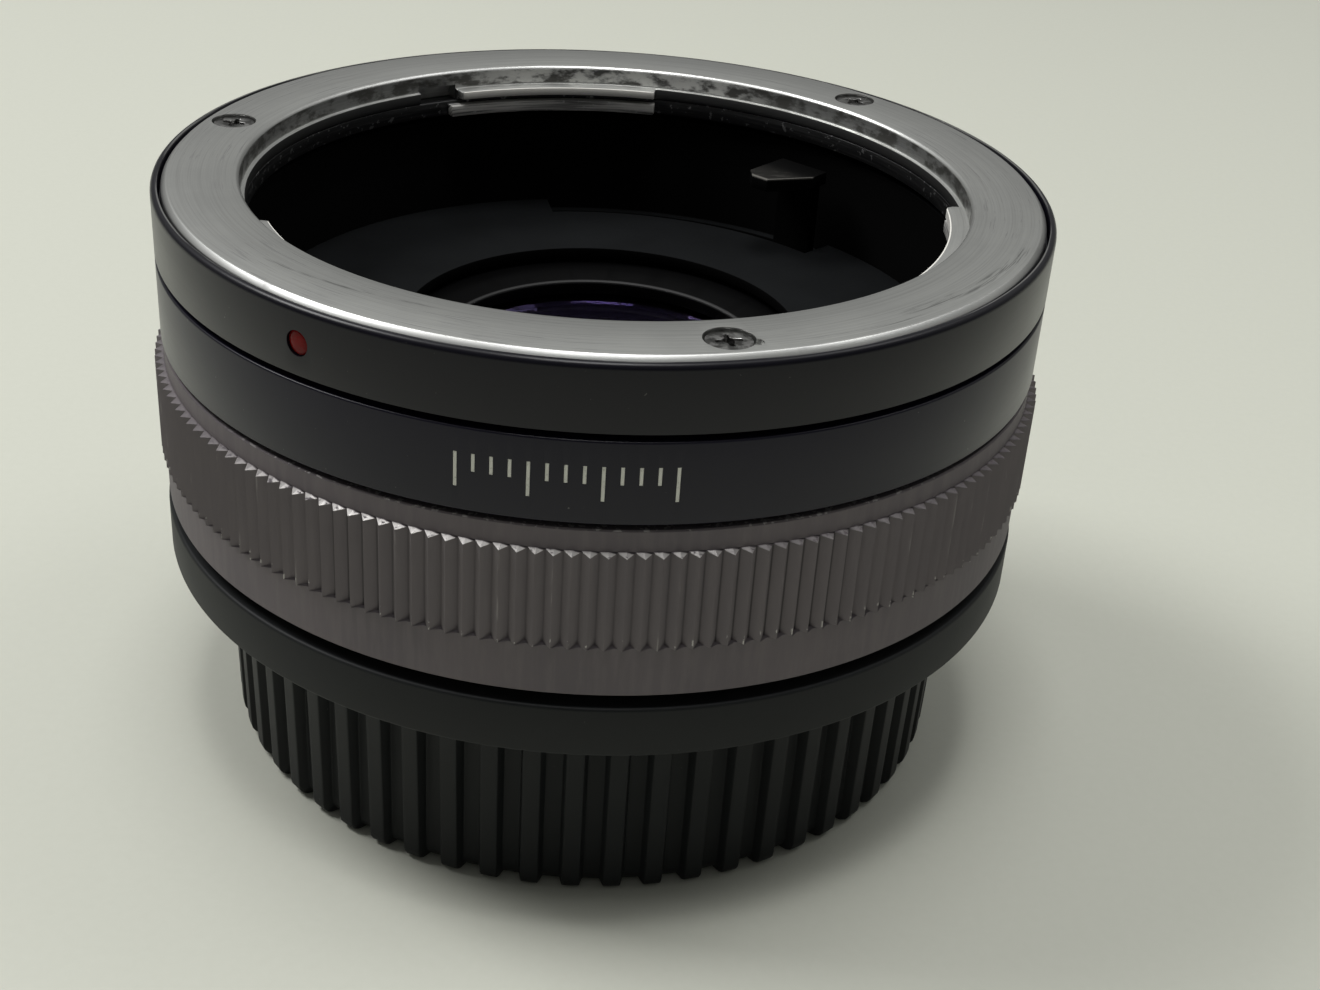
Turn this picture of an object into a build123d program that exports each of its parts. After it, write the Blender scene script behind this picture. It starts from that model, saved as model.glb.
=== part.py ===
from build123d import *
import math
import os

# A camera teleconverter standing on its fitted rear cap. Millimetres, +Z along the optical axis
# towards the lens side, origin at the middle of the cap's flat base.

# Heights of the outside, stacked from the base up
cap_cup_height = 14.8
cap_rim_height = 3.65
rear_flange_height = 1.85
grip_overhang = 1.0
lower_band_height = 3.55
knurl_height = 6.65
upper_band_height = 1.45
lower_groove_height = 0.4
marked_ring_height = 5.5
upper_groove_height = 0.45
collar_height = 4.4
plate_proud = 0.15

# Radial steps of the outside, from the bore that a lens enters outwards
flange_bore_diameter = 50.7
plate_width = 5.15
collar_rim_width = 0.7
groove_depth = 0.8
knurl_rise = 0.53
upper_band_inset = 0.1
lower_band_rise = 0.2
cap_rim_rise = 0.3

# Small clearances and edges
fit_gap = 0.05
running_gap = 0.05
overrun = 0.3
edge_break = 0.3
small_break = 0.15

# Front mount plate, its bayonet tabs and its notch
plate_thickness = 1.4
plate_edge_chamfer = 0.35
neck_wall = 1.65
neck_height = 0.85
ledge_depth = 1.4
ledge_step = 0.3
tab_reach = 1.3
tab_thickness = 0.6
tab_sweep_deg = 40.0
tab_start_angles = (82.0, 202.0, 322.0)
notch_start_angle = 123.2
notch_sweep_deg = 4.8
notch_reach = 1.05
notch_height = 1.05

# Leaf springs behind the tabs
leaf_ring_inset = 0.25
leaf_ring_height = 1.15
leaf_gap = 0.5
leaf_height = 0.85
leaf_inset = 0.15

# Countersunk screw with a cross recess, whose sizes follow its head's diameter
screw_head_diameter = 2.9
screw_land_share = 0.04
screw_shank_share = 0.586
screw_cone_share = 0.26
cross_length_share = 0.57
cross_width_share = 0.117
cross_depth_share = 0.19
cross_core_share = 0.276

# Front screws
front_screw_angles = (46.6, 166.6, -73.4)
front_screw_wall = 0.35
front_screw_end_wall = 0.88
front_screw_sink = 0.12

# Collar with the red index dot
collar_edge_drop = 0.8
dot_angle = -124.5
dot_level_share = 0.477
dot_diameter = 1.6
dot_pocket_depth = 0.55
dot_recess = 0.2
dot_rounding_share = 0.43

# Marked ring, and the white marks with their places as shares of its height
marked_ring_wall = 2.2
marks_start_angle = -105.0
marks_sweep_deg = 24.0
marks_count = 13
marks_in_group = 4
mark_drop_share = 0.3
long_mark_share = 0.418
short_mark_share = 0.218
mark_width = 0.24
mark_depth = 0.15
mark_recess = 0.03

# Grip ring
knurl_depth = 0.73
knurl_teeth = 184
knurl_end_rise = 0.35
grip_wall = 1.8

# Main tube
tube_bore_step = 0.25
thread_length = 0.85
shelf_depth = 0.7
shelf_height = 1.0

# Throat floor plate
throat_depth = 11.5
floor_thickness = 0.8
floor_lip = 0.5

# Glass, with each face's rise as a share of the rim's thickness, hollow where it is negative
lens_gap = 0.1
lens_land_width = 2.2
front_glass_rim = 1.4
front_glass_shares = (0.57, 1.07)
second_glass_rim = 3.8
second_glass_shares = (-0.29, -0.32)
third_glass_rim = 1.5
third_glass_shares = (0.6, 0.27)
rear_glass_rim = 2.5
rear_glass_shares = (-0.36, 0.14)
front_spacer_height = 2.5
middle_spacer_height = 0.9
rear_spacer_height = 1.3

# Optical cell and the rings that hold its glass
cell_wall = 1.3
cell_flange_thickness = 1.0
cell_shoulder_margin = 0.1
front_retainer_sink = 0.4
front_retainer_height = 1.9
front_retainer_slope = 0.6
rear_retainer_height = 0.8
rear_retainer_sink = 0.2
retainer_overlap = 0.8

# Levers: sheet metal parts on rings that turn around the cell
sheet = 1.0
lever_width = 3.4
paddle_width = 4.4
paddle_length = 5.2
paddle_height = 6.55
paddle_corner_share = 0.2
stalk_shelf_gap = 0.8
stalk_floor_gap = 0.5
rear_lever_wall_gap = 1.9
rear_lever_reach = 9.0
blade_tip_share = 0.3
foot_overhang = 0.2
foot_length = 3.3
foot_flange_gap = 0.4
ring_lever_gap = 0.8
ring_width = 2.35
rivet_spacing_share = 0.255
rivet_share = 0.32
rivet_head_share = 0.44
rivet_head_height = 0.2
lever_slot_gap = 0.3

stop_down_angle = 49.4
stop_down_travel_deg = 45.0
signal_angle = -95.0
signal_travel_deg = 35.0
slot_end_gap_deg = 0.75
slot_far_gap_deg = 3.0

# Hidden coil springs around the cell, drawn as plain sleeves, and the clip above them
signal_spring_share = 0.59
coil_wall_share = 0.72
coil_clearance = 0.1
retaining_clip_height = 0.8
retaining_clip_drop = 0.4

# Rear mount with three outward lugs, made to pass the same bore and tabs as the front
mount_play = 0.15
rear_flange_inset = 0.2
rear_tube_wall = 1.6
lug_drop = 2.1
lug_height = 1.3
lug_sweep_deg = 50.0
lug_middle_angles = (30.0, 150.0, 270.0)
rear_screw_angles = (0.0, 90.0, 180.0, 270.0)
rear_screw_length = 5.0
rear_screw_wall = 0.5
rear_screw_sink = 0.15
cell_screw_angles = (10.0, 130.0, 250.0)
cell_screw_margin = 0.1
cell_screw_skin = 0.45
stop_pin_angle = 61.5
stop_pin_share = 0.76
stop_pin_reach = 0.7

# Rear cap
cap_lug_gap = 0.45
cap_wall = 0.75
cap_step = 0.9
cap_step_drop = 0.7
cap_floor = 1.8
cap_foot_radius = 1.0
cap_rim_edge = 0.25
rib_count = 60
rib_phase_angle = -90.6
rib_width = 1.19
rib_height = 1.3
rib_draft = 0.4
rib_foot_radius = 0.5
cap_tab_gap = 0.35
cap_tab_drop = 0.5
cap_tab_lug_gap = 0.3
cap_tab_sweep_deg = 44.0
cap_tab_middle_angles = (90.0, 210.0, 330.0)

# Levels, worked out from the heights
cap_rim_bottom = cap_cup_height
cap_rim_top = cap_rim_bottom + cap_rim_height
rear_face = cap_rim_top + fit_gap
tube_bottom = rear_face + rear_flange_height
grip_bottom = tube_bottom - grip_overhang
knurl_bottom = grip_bottom + lower_band_height
knurl_top = knurl_bottom + knurl_height
grip_top = knurl_top + upper_band_height
marked_ring_bottom = grip_top + lower_groove_height
marked_ring_top = marked_ring_bottom + marked_ring_height
collar_bottom = marked_ring_top + upper_groove_height
collar_top = collar_bottom + collar_height
overall_height = collar_top + plate_proud
plate_bottom = overall_height - plate_thickness
neck_bottom = plate_bottom - neck_height
tab_top = overall_height - ledge_depth
tab_bottom = tab_top - tab_thickness
throat_floor = overall_height - throat_depth
floor_bottom = throat_floor - floor_thickness
cell_top = floor_bottom
cell_flange_top = tube_bottom + cell_flange_thickness
cell_shoulder_top = cell_flange_top + sheet + rivet_head_height + foot_flange_gap
front_retainer_top = cell_top - front_retainer_sink
front_glass_top = front_retainer_top - front_retainer_height
second_glass_top = front_glass_top - front_glass_rim - front_spacer_height
third_glass_top = second_glass_top - second_glass_rim - middle_spacer_height
rear_glass_top = third_glass_top - third_glass_rim - rear_spacer_height
rear_retainer_top = rear_glass_top - rear_glass_rim
cell_bottom = rear_retainer_top - rear_retainer_height - rear_retainer_sink
clip_top = cell_top - retaining_clip_drop
clip_bottom = clip_top - retaining_clip_height
signal_ring_bottom = cell_shoulder_top + running_gap
spring_room = clip_bottom - signal_ring_bottom - sheet - sheet
stop_down_ring_bottom = signal_ring_bottom + sheet + spring_room * signal_spring_share
paddle_top = throat_floor + paddle_height
rear_lever_bottom = rear_face - rear_lever_reach
lug_top = rear_face - lug_drop
lug_bottom = lug_top - lug_height
cap_bore_bottom = lug_bottom - cap_step_drop
cap_tab_top = rear_face - cap_tab_drop
cap_tab_bottom = lug_top + cap_tab_lug_gap

# Radii, worked out from the bore outwards
flange_bore_radius = flange_bore_diameter / 2
plate_radius = flange_bore_radius + plate_width
body_radius = plate_radius + collar_rim_width
neck_radius = flange_bore_radius + neck_wall
ledge_radius = flange_bore_radius - ledge_step
leaf_ring_radius = flange_bore_radius - leaf_ring_inset
groove_floor_radius = body_radius - groove_depth
knurl_radius = body_radius + knurl_rise
knurl_root_radius = knurl_radius - knurl_depth
upper_band_radius = body_radius - upper_band_inset
lower_band_radius = body_radius + lower_band_rise
grip_bore_radius = knurl_root_radius - grip_wall
marked_bore_radius = body_radius - marked_ring_wall
tube_bore_radius = flange_bore_radius + tube_bore_step
shelf_radius = tube_bore_radius - shelf_depth
cell_flange_radius = tube_bore_radius - fit_gap

# Radii, worked out from the bore inwards
throat_radius = flange_bore_radius - tab_reach
rear_tube_radius = throat_radius - mount_play
lug_radius = flange_bore_radius - mount_play - mount_play
rear_bore_radius = rear_tube_radius - rear_tube_wall
rear_lever_radius = rear_bore_radius - rear_lever_wall_gap
ring_outer_radius = rear_lever_radius - sheet - ring_lever_gap
ring_bore_radius = ring_outer_radius - ring_width
cell_radius = ring_bore_radius - running_gap
cell_shoulder_radius = ring_outer_radius - cell_shoulder_margin
cell_bore_radius = cell_radius - cell_wall
lens_radius = cell_bore_radius - lens_gap
clear_radius = lens_radius - lens_land_width
spacer_bore_radius = clear_radius + lens_gap
retainer_bore_radius = clear_radius - retainer_overlap
floor_bore_radius = cell_bore_radius - floor_lip
stalk_radius = shelf_radius - stalk_shelf_gap
slot_inner_radius = stalk_radius - sheet - stalk_floor_gap
foot_inner_radius = rear_lever_radius - sheet - foot_overhang
ear_outer_radius = foot_inner_radius + foot_length
rivet_radius = (rear_lever_radius + ear_outer_radius) / 2

# Radii of the rear mount's flange and of the cap
rear_flange_radius = grip_bore_radius - rear_flange_inset
cap_bore_radius = lug_radius + cap_lug_gap
cap_wall_radius = cap_bore_radius + cap_wall
cap_inner_radius = cap_bore_radius - cap_step
cap_rim_radius = body_radius + cap_rim_rise
cap_tab_radius = rear_tube_radius + cap_tab_gap
rib_top_radius = cap_wall_radius + rib_height
rib_foot_outer_radius = rib_top_radius - rib_draft

# Screws, from their heads and from the pieces that they join
screw_head_radius = screw_head_diameter / 2
screw_shank_radius = screw_head_radius * screw_shank_share
screw_land = screw_head_diameter * screw_land_share
screw_cone_height = screw_head_diameter * screw_cone_share
cross_length = screw_head_diameter * cross_length_share
cross_width = screw_head_diameter * cross_width_share
cross_depth = screw_head_diameter * cross_depth_share
cross_core_radius = screw_head_radius * cross_core_share
front_screw_level = overall_height - front_screw_sink
front_screw_length = front_screw_level - marked_ring_top - front_screw_end_wall
front_screw_radius = neck_radius + screw_shank_radius + front_screw_wall
rear_screw_level = rear_face + rear_screw_sink
rear_screw_radius = tube_bore_radius + screw_shank_radius + rear_screw_wall
cell_screw_level = cell_flange_top - fit_gap
cell_screw_length = cell_screw_level - rear_face - cell_screw_skin
cell_screw_radius = cell_flange_radius - screw_head_radius - cell_screw_margin

# Rivets of the levers and the pin of the bayonet, from the pieces that carry them
rivet_hole_radius = lever_width * rivet_share / 2
rivet_head_radius = lever_width * rivet_head_share / 2
rivet_offset = lever_width * rivet_spacing_share
stop_pin_level = (lug_top + rear_face) / 2
stop_pin_radius = (rear_face - lug_top) * stop_pin_share / 2

# Glasses, front to rear: name, level of the upper rim, rim thickness, shares of its faces' rise
glasses = (
    ("front_element", front_glass_top, front_glass_rim, front_glass_shares),
    ("second_element", second_glass_top, second_glass_rim, second_glass_shares),
    ("third_element", third_glass_top, third_glass_rim, third_glass_shares),
    ("rear_element", rear_glass_top, rear_glass_rim, rear_glass_shares),
)
spacer_names = ("front_spacer", "middle_spacer", "rear_spacer")


# Helpers

def turned(*corners):
    """A solid turned about the optical axis from corners given as (radius, level)."""
    outline = Polyline(*corners, close=True)
    return revolve(Plane.XZ * make_face(outline), Axis.Z)


def hoop(inner, outer, bottom, top):
    """A plain ring between two radii."""
    return turned((inner, bottom), (outer, bottom), (outer, top), (inner, top))


def sector(inner, outer, bottom, top, start, sweep):
    """A part of a ring, from an angle and counterclockwise, between two radii."""
    middle = Pos((inner + outer) / 2, (bottom + top) / 2)
    section = middle * Rectangle(outer - inner, top - bottom)
    return Rot(0, 0, start) * revolve(Plane.XZ * section, Axis.Z, sweep)


def bar(inner, outer, width, bottom, top, angle=0.0):
    """A straight bar that points outwards at an angle, between two radii."""
    middle = Pos((inner + outer) / 2, 0, (bottom + top) / 2)
    return Rot(0, 0, angle) * middle * Box(outer - inner, width, top - bottom)


def peg(peg_radius, bottom, top, place_radius, angle=0.0, aside=0.0):
    """An upright round peg on a circle, or a little aside of the line from the axis."""
    place = Rot(0, 0, angle) * Pos(place_radius, aside, (bottom + top) / 2)
    return place * Cylinder(peg_radius, top - bottom)


def around(angles, piece):
    """Copies of a piece turned about the optical axis."""
    return [Rot(0, 0, angle) * piece for angle in angles]


def cut(piece, tools):
    """A piece with each tool taken away."""
    for tool in tools:
        piece = piece - tool
    return piece


def fused(pieces):
    """One solid from pieces that overlap or meet."""
    whole = pieces[0]
    for piece in pieces[1:]:
        whole = whole + piece
    return whole


def screw(length):
    """A countersunk screw, its head's top at level zero and its shank down."""
    cone_bottom = -screw_land - screw_cone_height
    blank = turned(
        (0, 0),
        (screw_head_radius, 0),
        (screw_head_radius, -screw_land),
        (screw_shank_radius, cone_bottom),
        (screw_shank_radius, -length),
        (0, -length),
    )
    middle = Pos(0, 0, -cross_depth / 2)
    slot = middle * Box(cross_length, cross_width, cross_depth)
    core = middle * Cylinder(cross_core_radius, cross_depth)
    return cut(blank, [slot, Rot(0, 0, 90) * slot, core])


def screw_hole(length):
    """The countersunk hole for a screw, with a little room all round and open above."""
    head_radius = screw_head_radius + fit_gap
    shank_radius = screw_shank_radius + fit_gap
    cone_bottom = -screw_land - screw_cone_height
    return turned(
        (0, overrun),
        (head_radius, overrun),
        (head_radius, -screw_land - fit_gap),
        (shank_radius, cone_bottom - fit_gap),
        (shank_radius, -length - fit_gap),
        (0, -length - fit_gap),
    )


def on_circle(piece, angles, place_radius, level, turn_over=False):
    """Copies of a piece on a circle, upright or turned over to face down."""
    facing = Rot(180, 0, 0) if turn_over else Rot(0, 0, 0)
    return around(angles, Pos(place_radius, 0, level) * facing * piece)


# Front mount

def front_mount_ring():
    """The steel plate that a lens seats on, with three bayonet tabs on a ledge in its bore."""
    bore = flange_bore_radius
    plate = turned(
        (ledge_radius, neck_bottom),
        (neck_radius, neck_bottom),
        (neck_radius, plate_bottom),
        (plate_radius, plate_bottom),
        (plate_radius, overall_height - plate_edge_chamfer),
        (plate_radius - plate_edge_chamfer, overall_height),
        (bore + edge_break, overall_height),
        (bore, overall_height - edge_break),
        (bore, tab_top),
        (ledge_radius, tab_top),
    )
    tab = sector(throat_radius, bore + overrun, tab_bottom, tab_top, 0, tab_sweep_deg)
    whole = fused([plate] + around(tab_start_angles, tab))
    notch = sector(
        bore - overrun,
        bore + notch_reach,
        neck_bottom - overrun,
        neck_bottom + notch_height,
        notch_start_angle,
        notch_sweep_deg,
    )
    hole = screw_hole(front_screw_length)
    holes = on_circle(hole, front_screw_angles, front_screw_radius, front_screw_level)
    return cut(whole, [notch] + holes)


def mount_spring_ring():
    """A dark ring under the plate, with a leaf behind each tab that presses on a lens's lugs."""
    ring_top = neck_bottom - fit_gap
    leaf_top = tab_bottom - leaf_gap
    ring = hoop(leaf_ring_radius, neck_radius, ring_top - leaf_ring_height, ring_top)
    leaf = sector(
        throat_radius + leaf_inset,
        leaf_ring_radius + overrun,
        leaf_top - leaf_height,
        leaf_top,
        0,
        tab_sweep_deg,
    )
    return fused([ring] + around(tab_start_angles, leaf))


def front_screws():
    """Three countersunk screws that hold the plate to the collar."""
    piece = screw(front_screw_length)
    return Compound(on_circle(piece, front_screw_angles, front_screw_radius, front_screw_level))


# Outside rings

def front_collar():
    """The black ring around the plate, with the pocket for the index dot."""
    neck = neck_radius + fit_gap
    seat = plate_radius + fit_gap
    rim_start = (body_radius, collar_top - collar_edge_drop)
    rim_end = (seat, collar_top)
    outside = Polyline(
        (neck, marked_ring_top),
        (groove_floor_radius, marked_ring_top),
        (groove_floor_radius, collar_bottom),
        (body_radius, collar_bottom),
        rim_start,
    )
    rounding = TangentArc(rim_start, rim_end, tangent=(0, 1))
    inside = Polyline(rim_end, (seat, plate_bottom), (neck, plate_bottom), (neck, marked_ring_top))
    ring = revolve(Plane.XZ * make_face(Curve([outside, rounding, inside])), Axis.Z)
    dot_level = collar_bottom + collar_height * dot_level_share
    pocket_place = Rot(0, 0, dot_angle) * Pos(body_radius, 0, dot_level) * Rot(0, 90, 0)
    pocket = pocket_place * Cylinder(dot_diameter / 2, 2 * dot_pocket_depth)
    shank_hole = peg(
        screw_shank_radius + fit_gap,
        front_screw_level - front_screw_length - fit_gap,
        plate_bottom + overrun,
        front_screw_radius,
    )
    return cut(ring, [pocket] + around(front_screw_angles, shank_hole))


def index_dot():
    """The drop of red paint in the collar's pocket."""
    dot_level = collar_bottom + collar_height * dot_level_share
    thickness = dot_pocket_depth - dot_recess
    drop = Cylinder(dot_diameter / 2 - fit_gap / 2, thickness)
    drop = fillet(drop.edges().group_by(Axis.Z)[-1], thickness * dot_rounding_share)
    middle = body_radius - dot_recess - thickness / 2
    return Rot(0, 0, dot_angle) * Pos(middle, 0, dot_level) * Rot(0, 90, 0) * drop


def mark_bars(inner, outer, shrink):
    """The bars of the white scale, a long one at the head of each group of short ones."""
    step = marks_sweep_deg / (marks_count - 1)
    mark_top = marked_ring_top - marked_ring_height * mark_drop_share
    bars = []
    for number in range(marks_count):
        share = short_mark_share if number % marks_in_group else long_mark_share
        bottom = mark_top - marked_ring_height * share + shrink
        width = mark_width - 2 * shrink
        bars.append(bar(inner, outer, width, bottom, mark_top - shrink, marks_start_angle + number * step))
    return bars


def marked_ring():
    """The plain black ring with shallow engraved marks."""
    ring = turned(
        (marked_bore_radius, marked_ring_bottom),
        (body_radius - small_break, marked_ring_bottom),
        (body_radius, marked_ring_bottom + small_break),
        (body_radius, marked_ring_top - small_break),
        (body_radius - small_break, marked_ring_top),
        (marked_bore_radius, marked_ring_top),
    )
    return cut(ring, mark_bars(body_radius - mark_depth, body_radius + mark_depth, 0))


def index_marks():
    """The white paint in the engraved marks."""
    paint_floor = body_radius - mark_depth
    shell = hoop(paint_floor, body_radius - mark_recess, marked_ring_bottom, marked_ring_top)
    bars = mark_bars(paint_floor - mark_recess, body_radius, mark_recess / 2)
    return Compound([(shell & bar_shape).solids()[0] for bar_shape in bars])


def grip_ring():
    """The anodised grip ring, with pointed teeth cut into its middle."""
    core = turned(
        (grip_bore_radius, grip_bottom),
        (lower_band_radius - small_break, grip_bottom),
        (lower_band_radius, grip_bottom + small_break),
        (lower_band_radius, knurl_bottom),
        (knurl_root_radius, knurl_bottom),
        (knurl_root_radius, knurl_top),
        (upper_band_radius, knurl_top),
        (upper_band_radius, grip_top - small_break),
        (upper_band_radius - small_break, grip_top),
        (grip_bore_radius, grip_top),
    )
    half_tooth = math.pi / knurl_teeth
    points = []
    for number in range(2 * knurl_teeth):
        radius = knurl_root_radius if number % 2 else knurl_radius
        angle = number * half_tooth
        points.append((radius * math.cos(angle), radius * math.sin(angle)))
    star = make_face(Polyline(*points, close=True))
    teeth = Pos(0, 0, knurl_bottom) * extrude(star, knurl_height)
    envelope = turned(
        (grip_bore_radius, knurl_bottom),
        (knurl_radius - small_break, knurl_bottom),
        (knurl_radius, knurl_bottom + small_break),
        (knurl_radius, knurl_top - knurl_end_rise),
        (upper_band_radius, knurl_top),
        (grip_bore_radius, knurl_top),
    )
    return core + (teeth & envelope)


def main_tube():
    """The inner tube that every fixed ring and the cell are built on."""
    grip_seat = grip_bore_radius - fit_gap
    waist = marked_bore_radius - fit_gap
    thread = neck_radius + fit_gap
    thread_top = marked_ring_top + thread_length
    tube = turned(
        (tube_bore_radius, tube_bottom),
        (grip_seat, tube_bottom),
        (grip_seat, grip_top),
        (groove_floor_radius, grip_top),
        (groove_floor_radius, marked_ring_bottom),
        (waist, marked_ring_bottom),
        (waist, marked_ring_top),
        (thread, marked_ring_top),
        (thread, thread_top),
        (tube_bore_radius, thread_top),
        (tube_bore_radius, floor_bottom),
        (shelf_radius, floor_bottom),
        (shelf_radius, floor_bottom - shelf_height),
        (tube_bore_radius, floor_bottom - shelf_height),
    )
    hole = peg(
        screw_shank_radius + fit_gap,
        tube_bottom - overrun,
        rear_screw_level + rear_screw_length + fit_gap,
        rear_screw_radius,
    )
    return cut(tube, around(rear_screw_angles, hole))


# Throat floor

def lever_slots(inner, outer, bottom, top, end_gap):
    """The arcs that both levers pass through, each a little longer than its travel."""
    half_width = math.degrees(math.asin(lever_width / 2 / (stalk_radius - sheet)))
    slots = []
    for angle, travel in ((stop_down_angle, stop_down_travel_deg), (signal_angle, signal_travel_deg)):
        start = angle - half_width - end_gap
        sweep = travel + 2 * half_width + end_gap + slot_far_gap_deg
        slots.append(sector(inner, outer, bottom - overrun, top + overrun, start, sweep))
    return slots


def baffle_plate():
    """The ring-shaped floor of the throat, cut back at its edge where the levers swing."""
    edge = tube_bore_radius - fit_gap
    plate = hoop(floor_bore_radius, edge, floor_bottom, throat_floor)
    outer = edge + overrun
    slots = lever_slots(slot_inner_radius, outer, floor_bottom, throat_floor, slot_end_gap_deg)
    return cut(plate, slots)


# Optical cell

def optic_cell():
    """The tube that holds the glass, with the flange and the track for the lever rings."""
    cell = turned(
        (cell_bore_radius, cell_bottom),
        (cell_radius, cell_bottom),
        (cell_radius, tube_bottom),
        (cell_flange_radius, tube_bottom),
        (cell_flange_radius, cell_flange_top),
        (cell_shoulder_radius, cell_flange_top),
        (cell_shoulder_radius, cell_shoulder_top),
        (cell_radius, cell_shoulder_top),
        (cell_radius, cell_top),
        (cell_bore_radius, cell_top),
    )
    inner = rear_lever_radius - sheet - lever_slot_gap
    outer = rear_lever_radius + lever_slot_gap
    slots = lever_slots(inner, outer, tube_bottom, cell_flange_top, slot_far_gap_deg)
    hole = screw_hole(cell_screw_length)
    holes = on_circle(hole, cell_screw_angles, cell_screw_radius, cell_screw_level)
    return cut(cell, slots + holes)


def polished_arc(level, rise):
    """The curve of a glass face, from the axis out to its flat land."""
    curve_radius = (clear_radius**2 + rise**2) / (2 * rise)
    half = clear_radius / 2
    drop = curve_radius - math.copysign(math.sqrt(curve_radius**2 - half**2), curve_radius)
    return ThreePointArc((0, level + rise), (half, level + rise - drop), (clear_radius, level))


def lens(rim_top, rim, face_shares):
    """A lens with two curved faces, hollow where a face's share is negative."""
    rim_bottom = rim_top - rim
    rise_above = rim * face_shares[0]
    rise_below = rim * face_shares[1]
    upper = polished_arc(rim_top, rise_above)
    lower = polished_arc(rim_bottom, -rise_below)
    edge = Polyline(
        (clear_radius, rim_top),
        (lens_radius, rim_top),
        (lens_radius, rim_bottom),
        (clear_radius, rim_bottom),
    )
    axis = Line((0, rim_bottom - rise_below), (0, rim_top + rise_above))
    return revolve(Plane.XZ * make_face(Curve([upper, edge, lower, axis])), Axis.Z)


def glass_spacers():
    """The black rings between the glasses, one for each gap."""
    pieces = {}
    for name, above, below in zip(spacer_names, glasses[:-1], glasses[1:]):
        pieces[name] = hoop(spacer_bore_radius, lens_radius, below[1], above[1] - above[2])
    return pieces


def front_lens_retainer():
    """The ring that holds the front glass, sloping down to a bright inner lip."""
    outer = cell_bore_radius - fit_gap
    return turned(
        (retainer_bore_radius, front_glass_top + edge_break),
        (clear_radius + fit_gap, front_glass_top),
        (outer, front_glass_top),
        (outer, front_retainer_top),
        (outer - edge_break, front_retainer_top),
        (retainer_bore_radius, front_retainer_top - front_retainer_slope),
    )


def rear_lens_retainer():
    """The ring that holds the rear glass."""
    bottom = rear_retainer_top - rear_retainer_height
    outer = cell_bore_radius - fit_gap
    return turned(
        (clear_radius + fit_gap, rear_retainer_top),
        (retainer_bore_radius, rear_retainer_top - edge_break),
        (retainer_bore_radius + edge_break, bottom),
        (outer, bottom),
        (outer, rear_retainer_top),
    )


# Levers

def rivet_pegs(peg_radius, bottom, top):
    """Two round pegs, side by side where a lever is riveted to its ring."""
    return [peg(peg_radius, bottom, top, rivet_radius, 0, side) for side in (-rivet_offset, rivet_offset)]


def lever_ring(bottom, angle):
    """A ring that turns around the cell, with an ear for its lever's feet."""
    top = bottom + sheet
    ring = hoop(ring_bore_radius, ring_outer_radius, bottom, top)
    ear = bar(ring_outer_radius - sheet, ear_outer_radius, lever_width, bottom, top)
    return Rot(0, 0, angle) * cut(ring + ear, rivet_pegs(rivet_hole_radius, bottom, top))


def front_lever(ring_bottom, angle):
    """The bent plate from the ring up into the throat, with its paddle turned inwards."""
    foot_bottom = ring_bottom + sheet
    foot_top = foot_bottom + sheet
    foot = bar(foot_inner_radius, stalk_radius, lever_width, foot_bottom, foot_top)
    stalk = bar(stalk_radius - sheet, stalk_radius, lever_width, foot_bottom, paddle_top)
    paddle_inner = stalk_radius - paddle_length
    paddle = bar(paddle_inner, stalk_radius, paddle_width, paddle_top - sheet, paddle_top)
    corners = paddle.edges().filter_by(Axis.Z).group_by(Axis.X)[0]
    paddle = chamfer(corners, paddle_width * paddle_corner_share)
    lever = fused([foot, stalk, paddle])
    return Rot(0, 0, angle) * cut(lever, rivet_pegs(rivet_hole_radius, foot_bottom, foot_top))


def rear_lever(ring_bottom, angle):
    """The bent plate from the ring down through the cell's flange to the camera side."""
    foot_bottom = ring_bottom - sheet
    inner = rear_lever_radius - sheet
    foot = bar(inner, ear_outer_radius, lever_width, foot_bottom, ring_bottom)
    blade = bar(inner, rear_lever_radius, lever_width, rear_lever_bottom, ring_bottom)
    tips = blade.edges().filter_by(Axis.X).group_by(Axis.Z)[0]
    lever = foot + fillet(tips, lever_width * blade_tip_share)
    return Rot(0, 0, angle) * cut(lever, rivet_pegs(rivet_hole_radius, foot_bottom, ring_bottom))


def lever_rivets(ring_bottom, angle):
    """Two rivets through both feet and the ring."""
    bottom = ring_bottom - sheet
    top = ring_bottom + 2 * sheet
    shanks = rivet_pegs(rivet_hole_radius - fit_gap / 2, bottom, top)
    heads = rivet_pegs(rivet_head_radius, top, top + rivet_head_height)
    tails = rivet_pegs(rivet_head_radius, bottom - rivet_head_height, bottom)
    rivets = [fused(rivet) for rivet in zip(shanks, heads, tails)]
    return Rot(0, 0, angle) * Compound(rivets)


def coil_sleeve(bottom, top):
    """The outer form of a return spring wound around the cell."""
    inner = ring_bore_radius + coil_clearance
    outer = inner + ring_width * coil_wall_share
    return hoop(inner, outer, bottom + coil_clearance, top - coil_clearance)


def retaining_clip():
    """The clip on the cell that keeps the lever rings and springs in place."""
    return hoop(cell_radius + fit_gap / 2, cell_shoulder_radius, clip_bottom, clip_top)


# Rear mount

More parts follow.
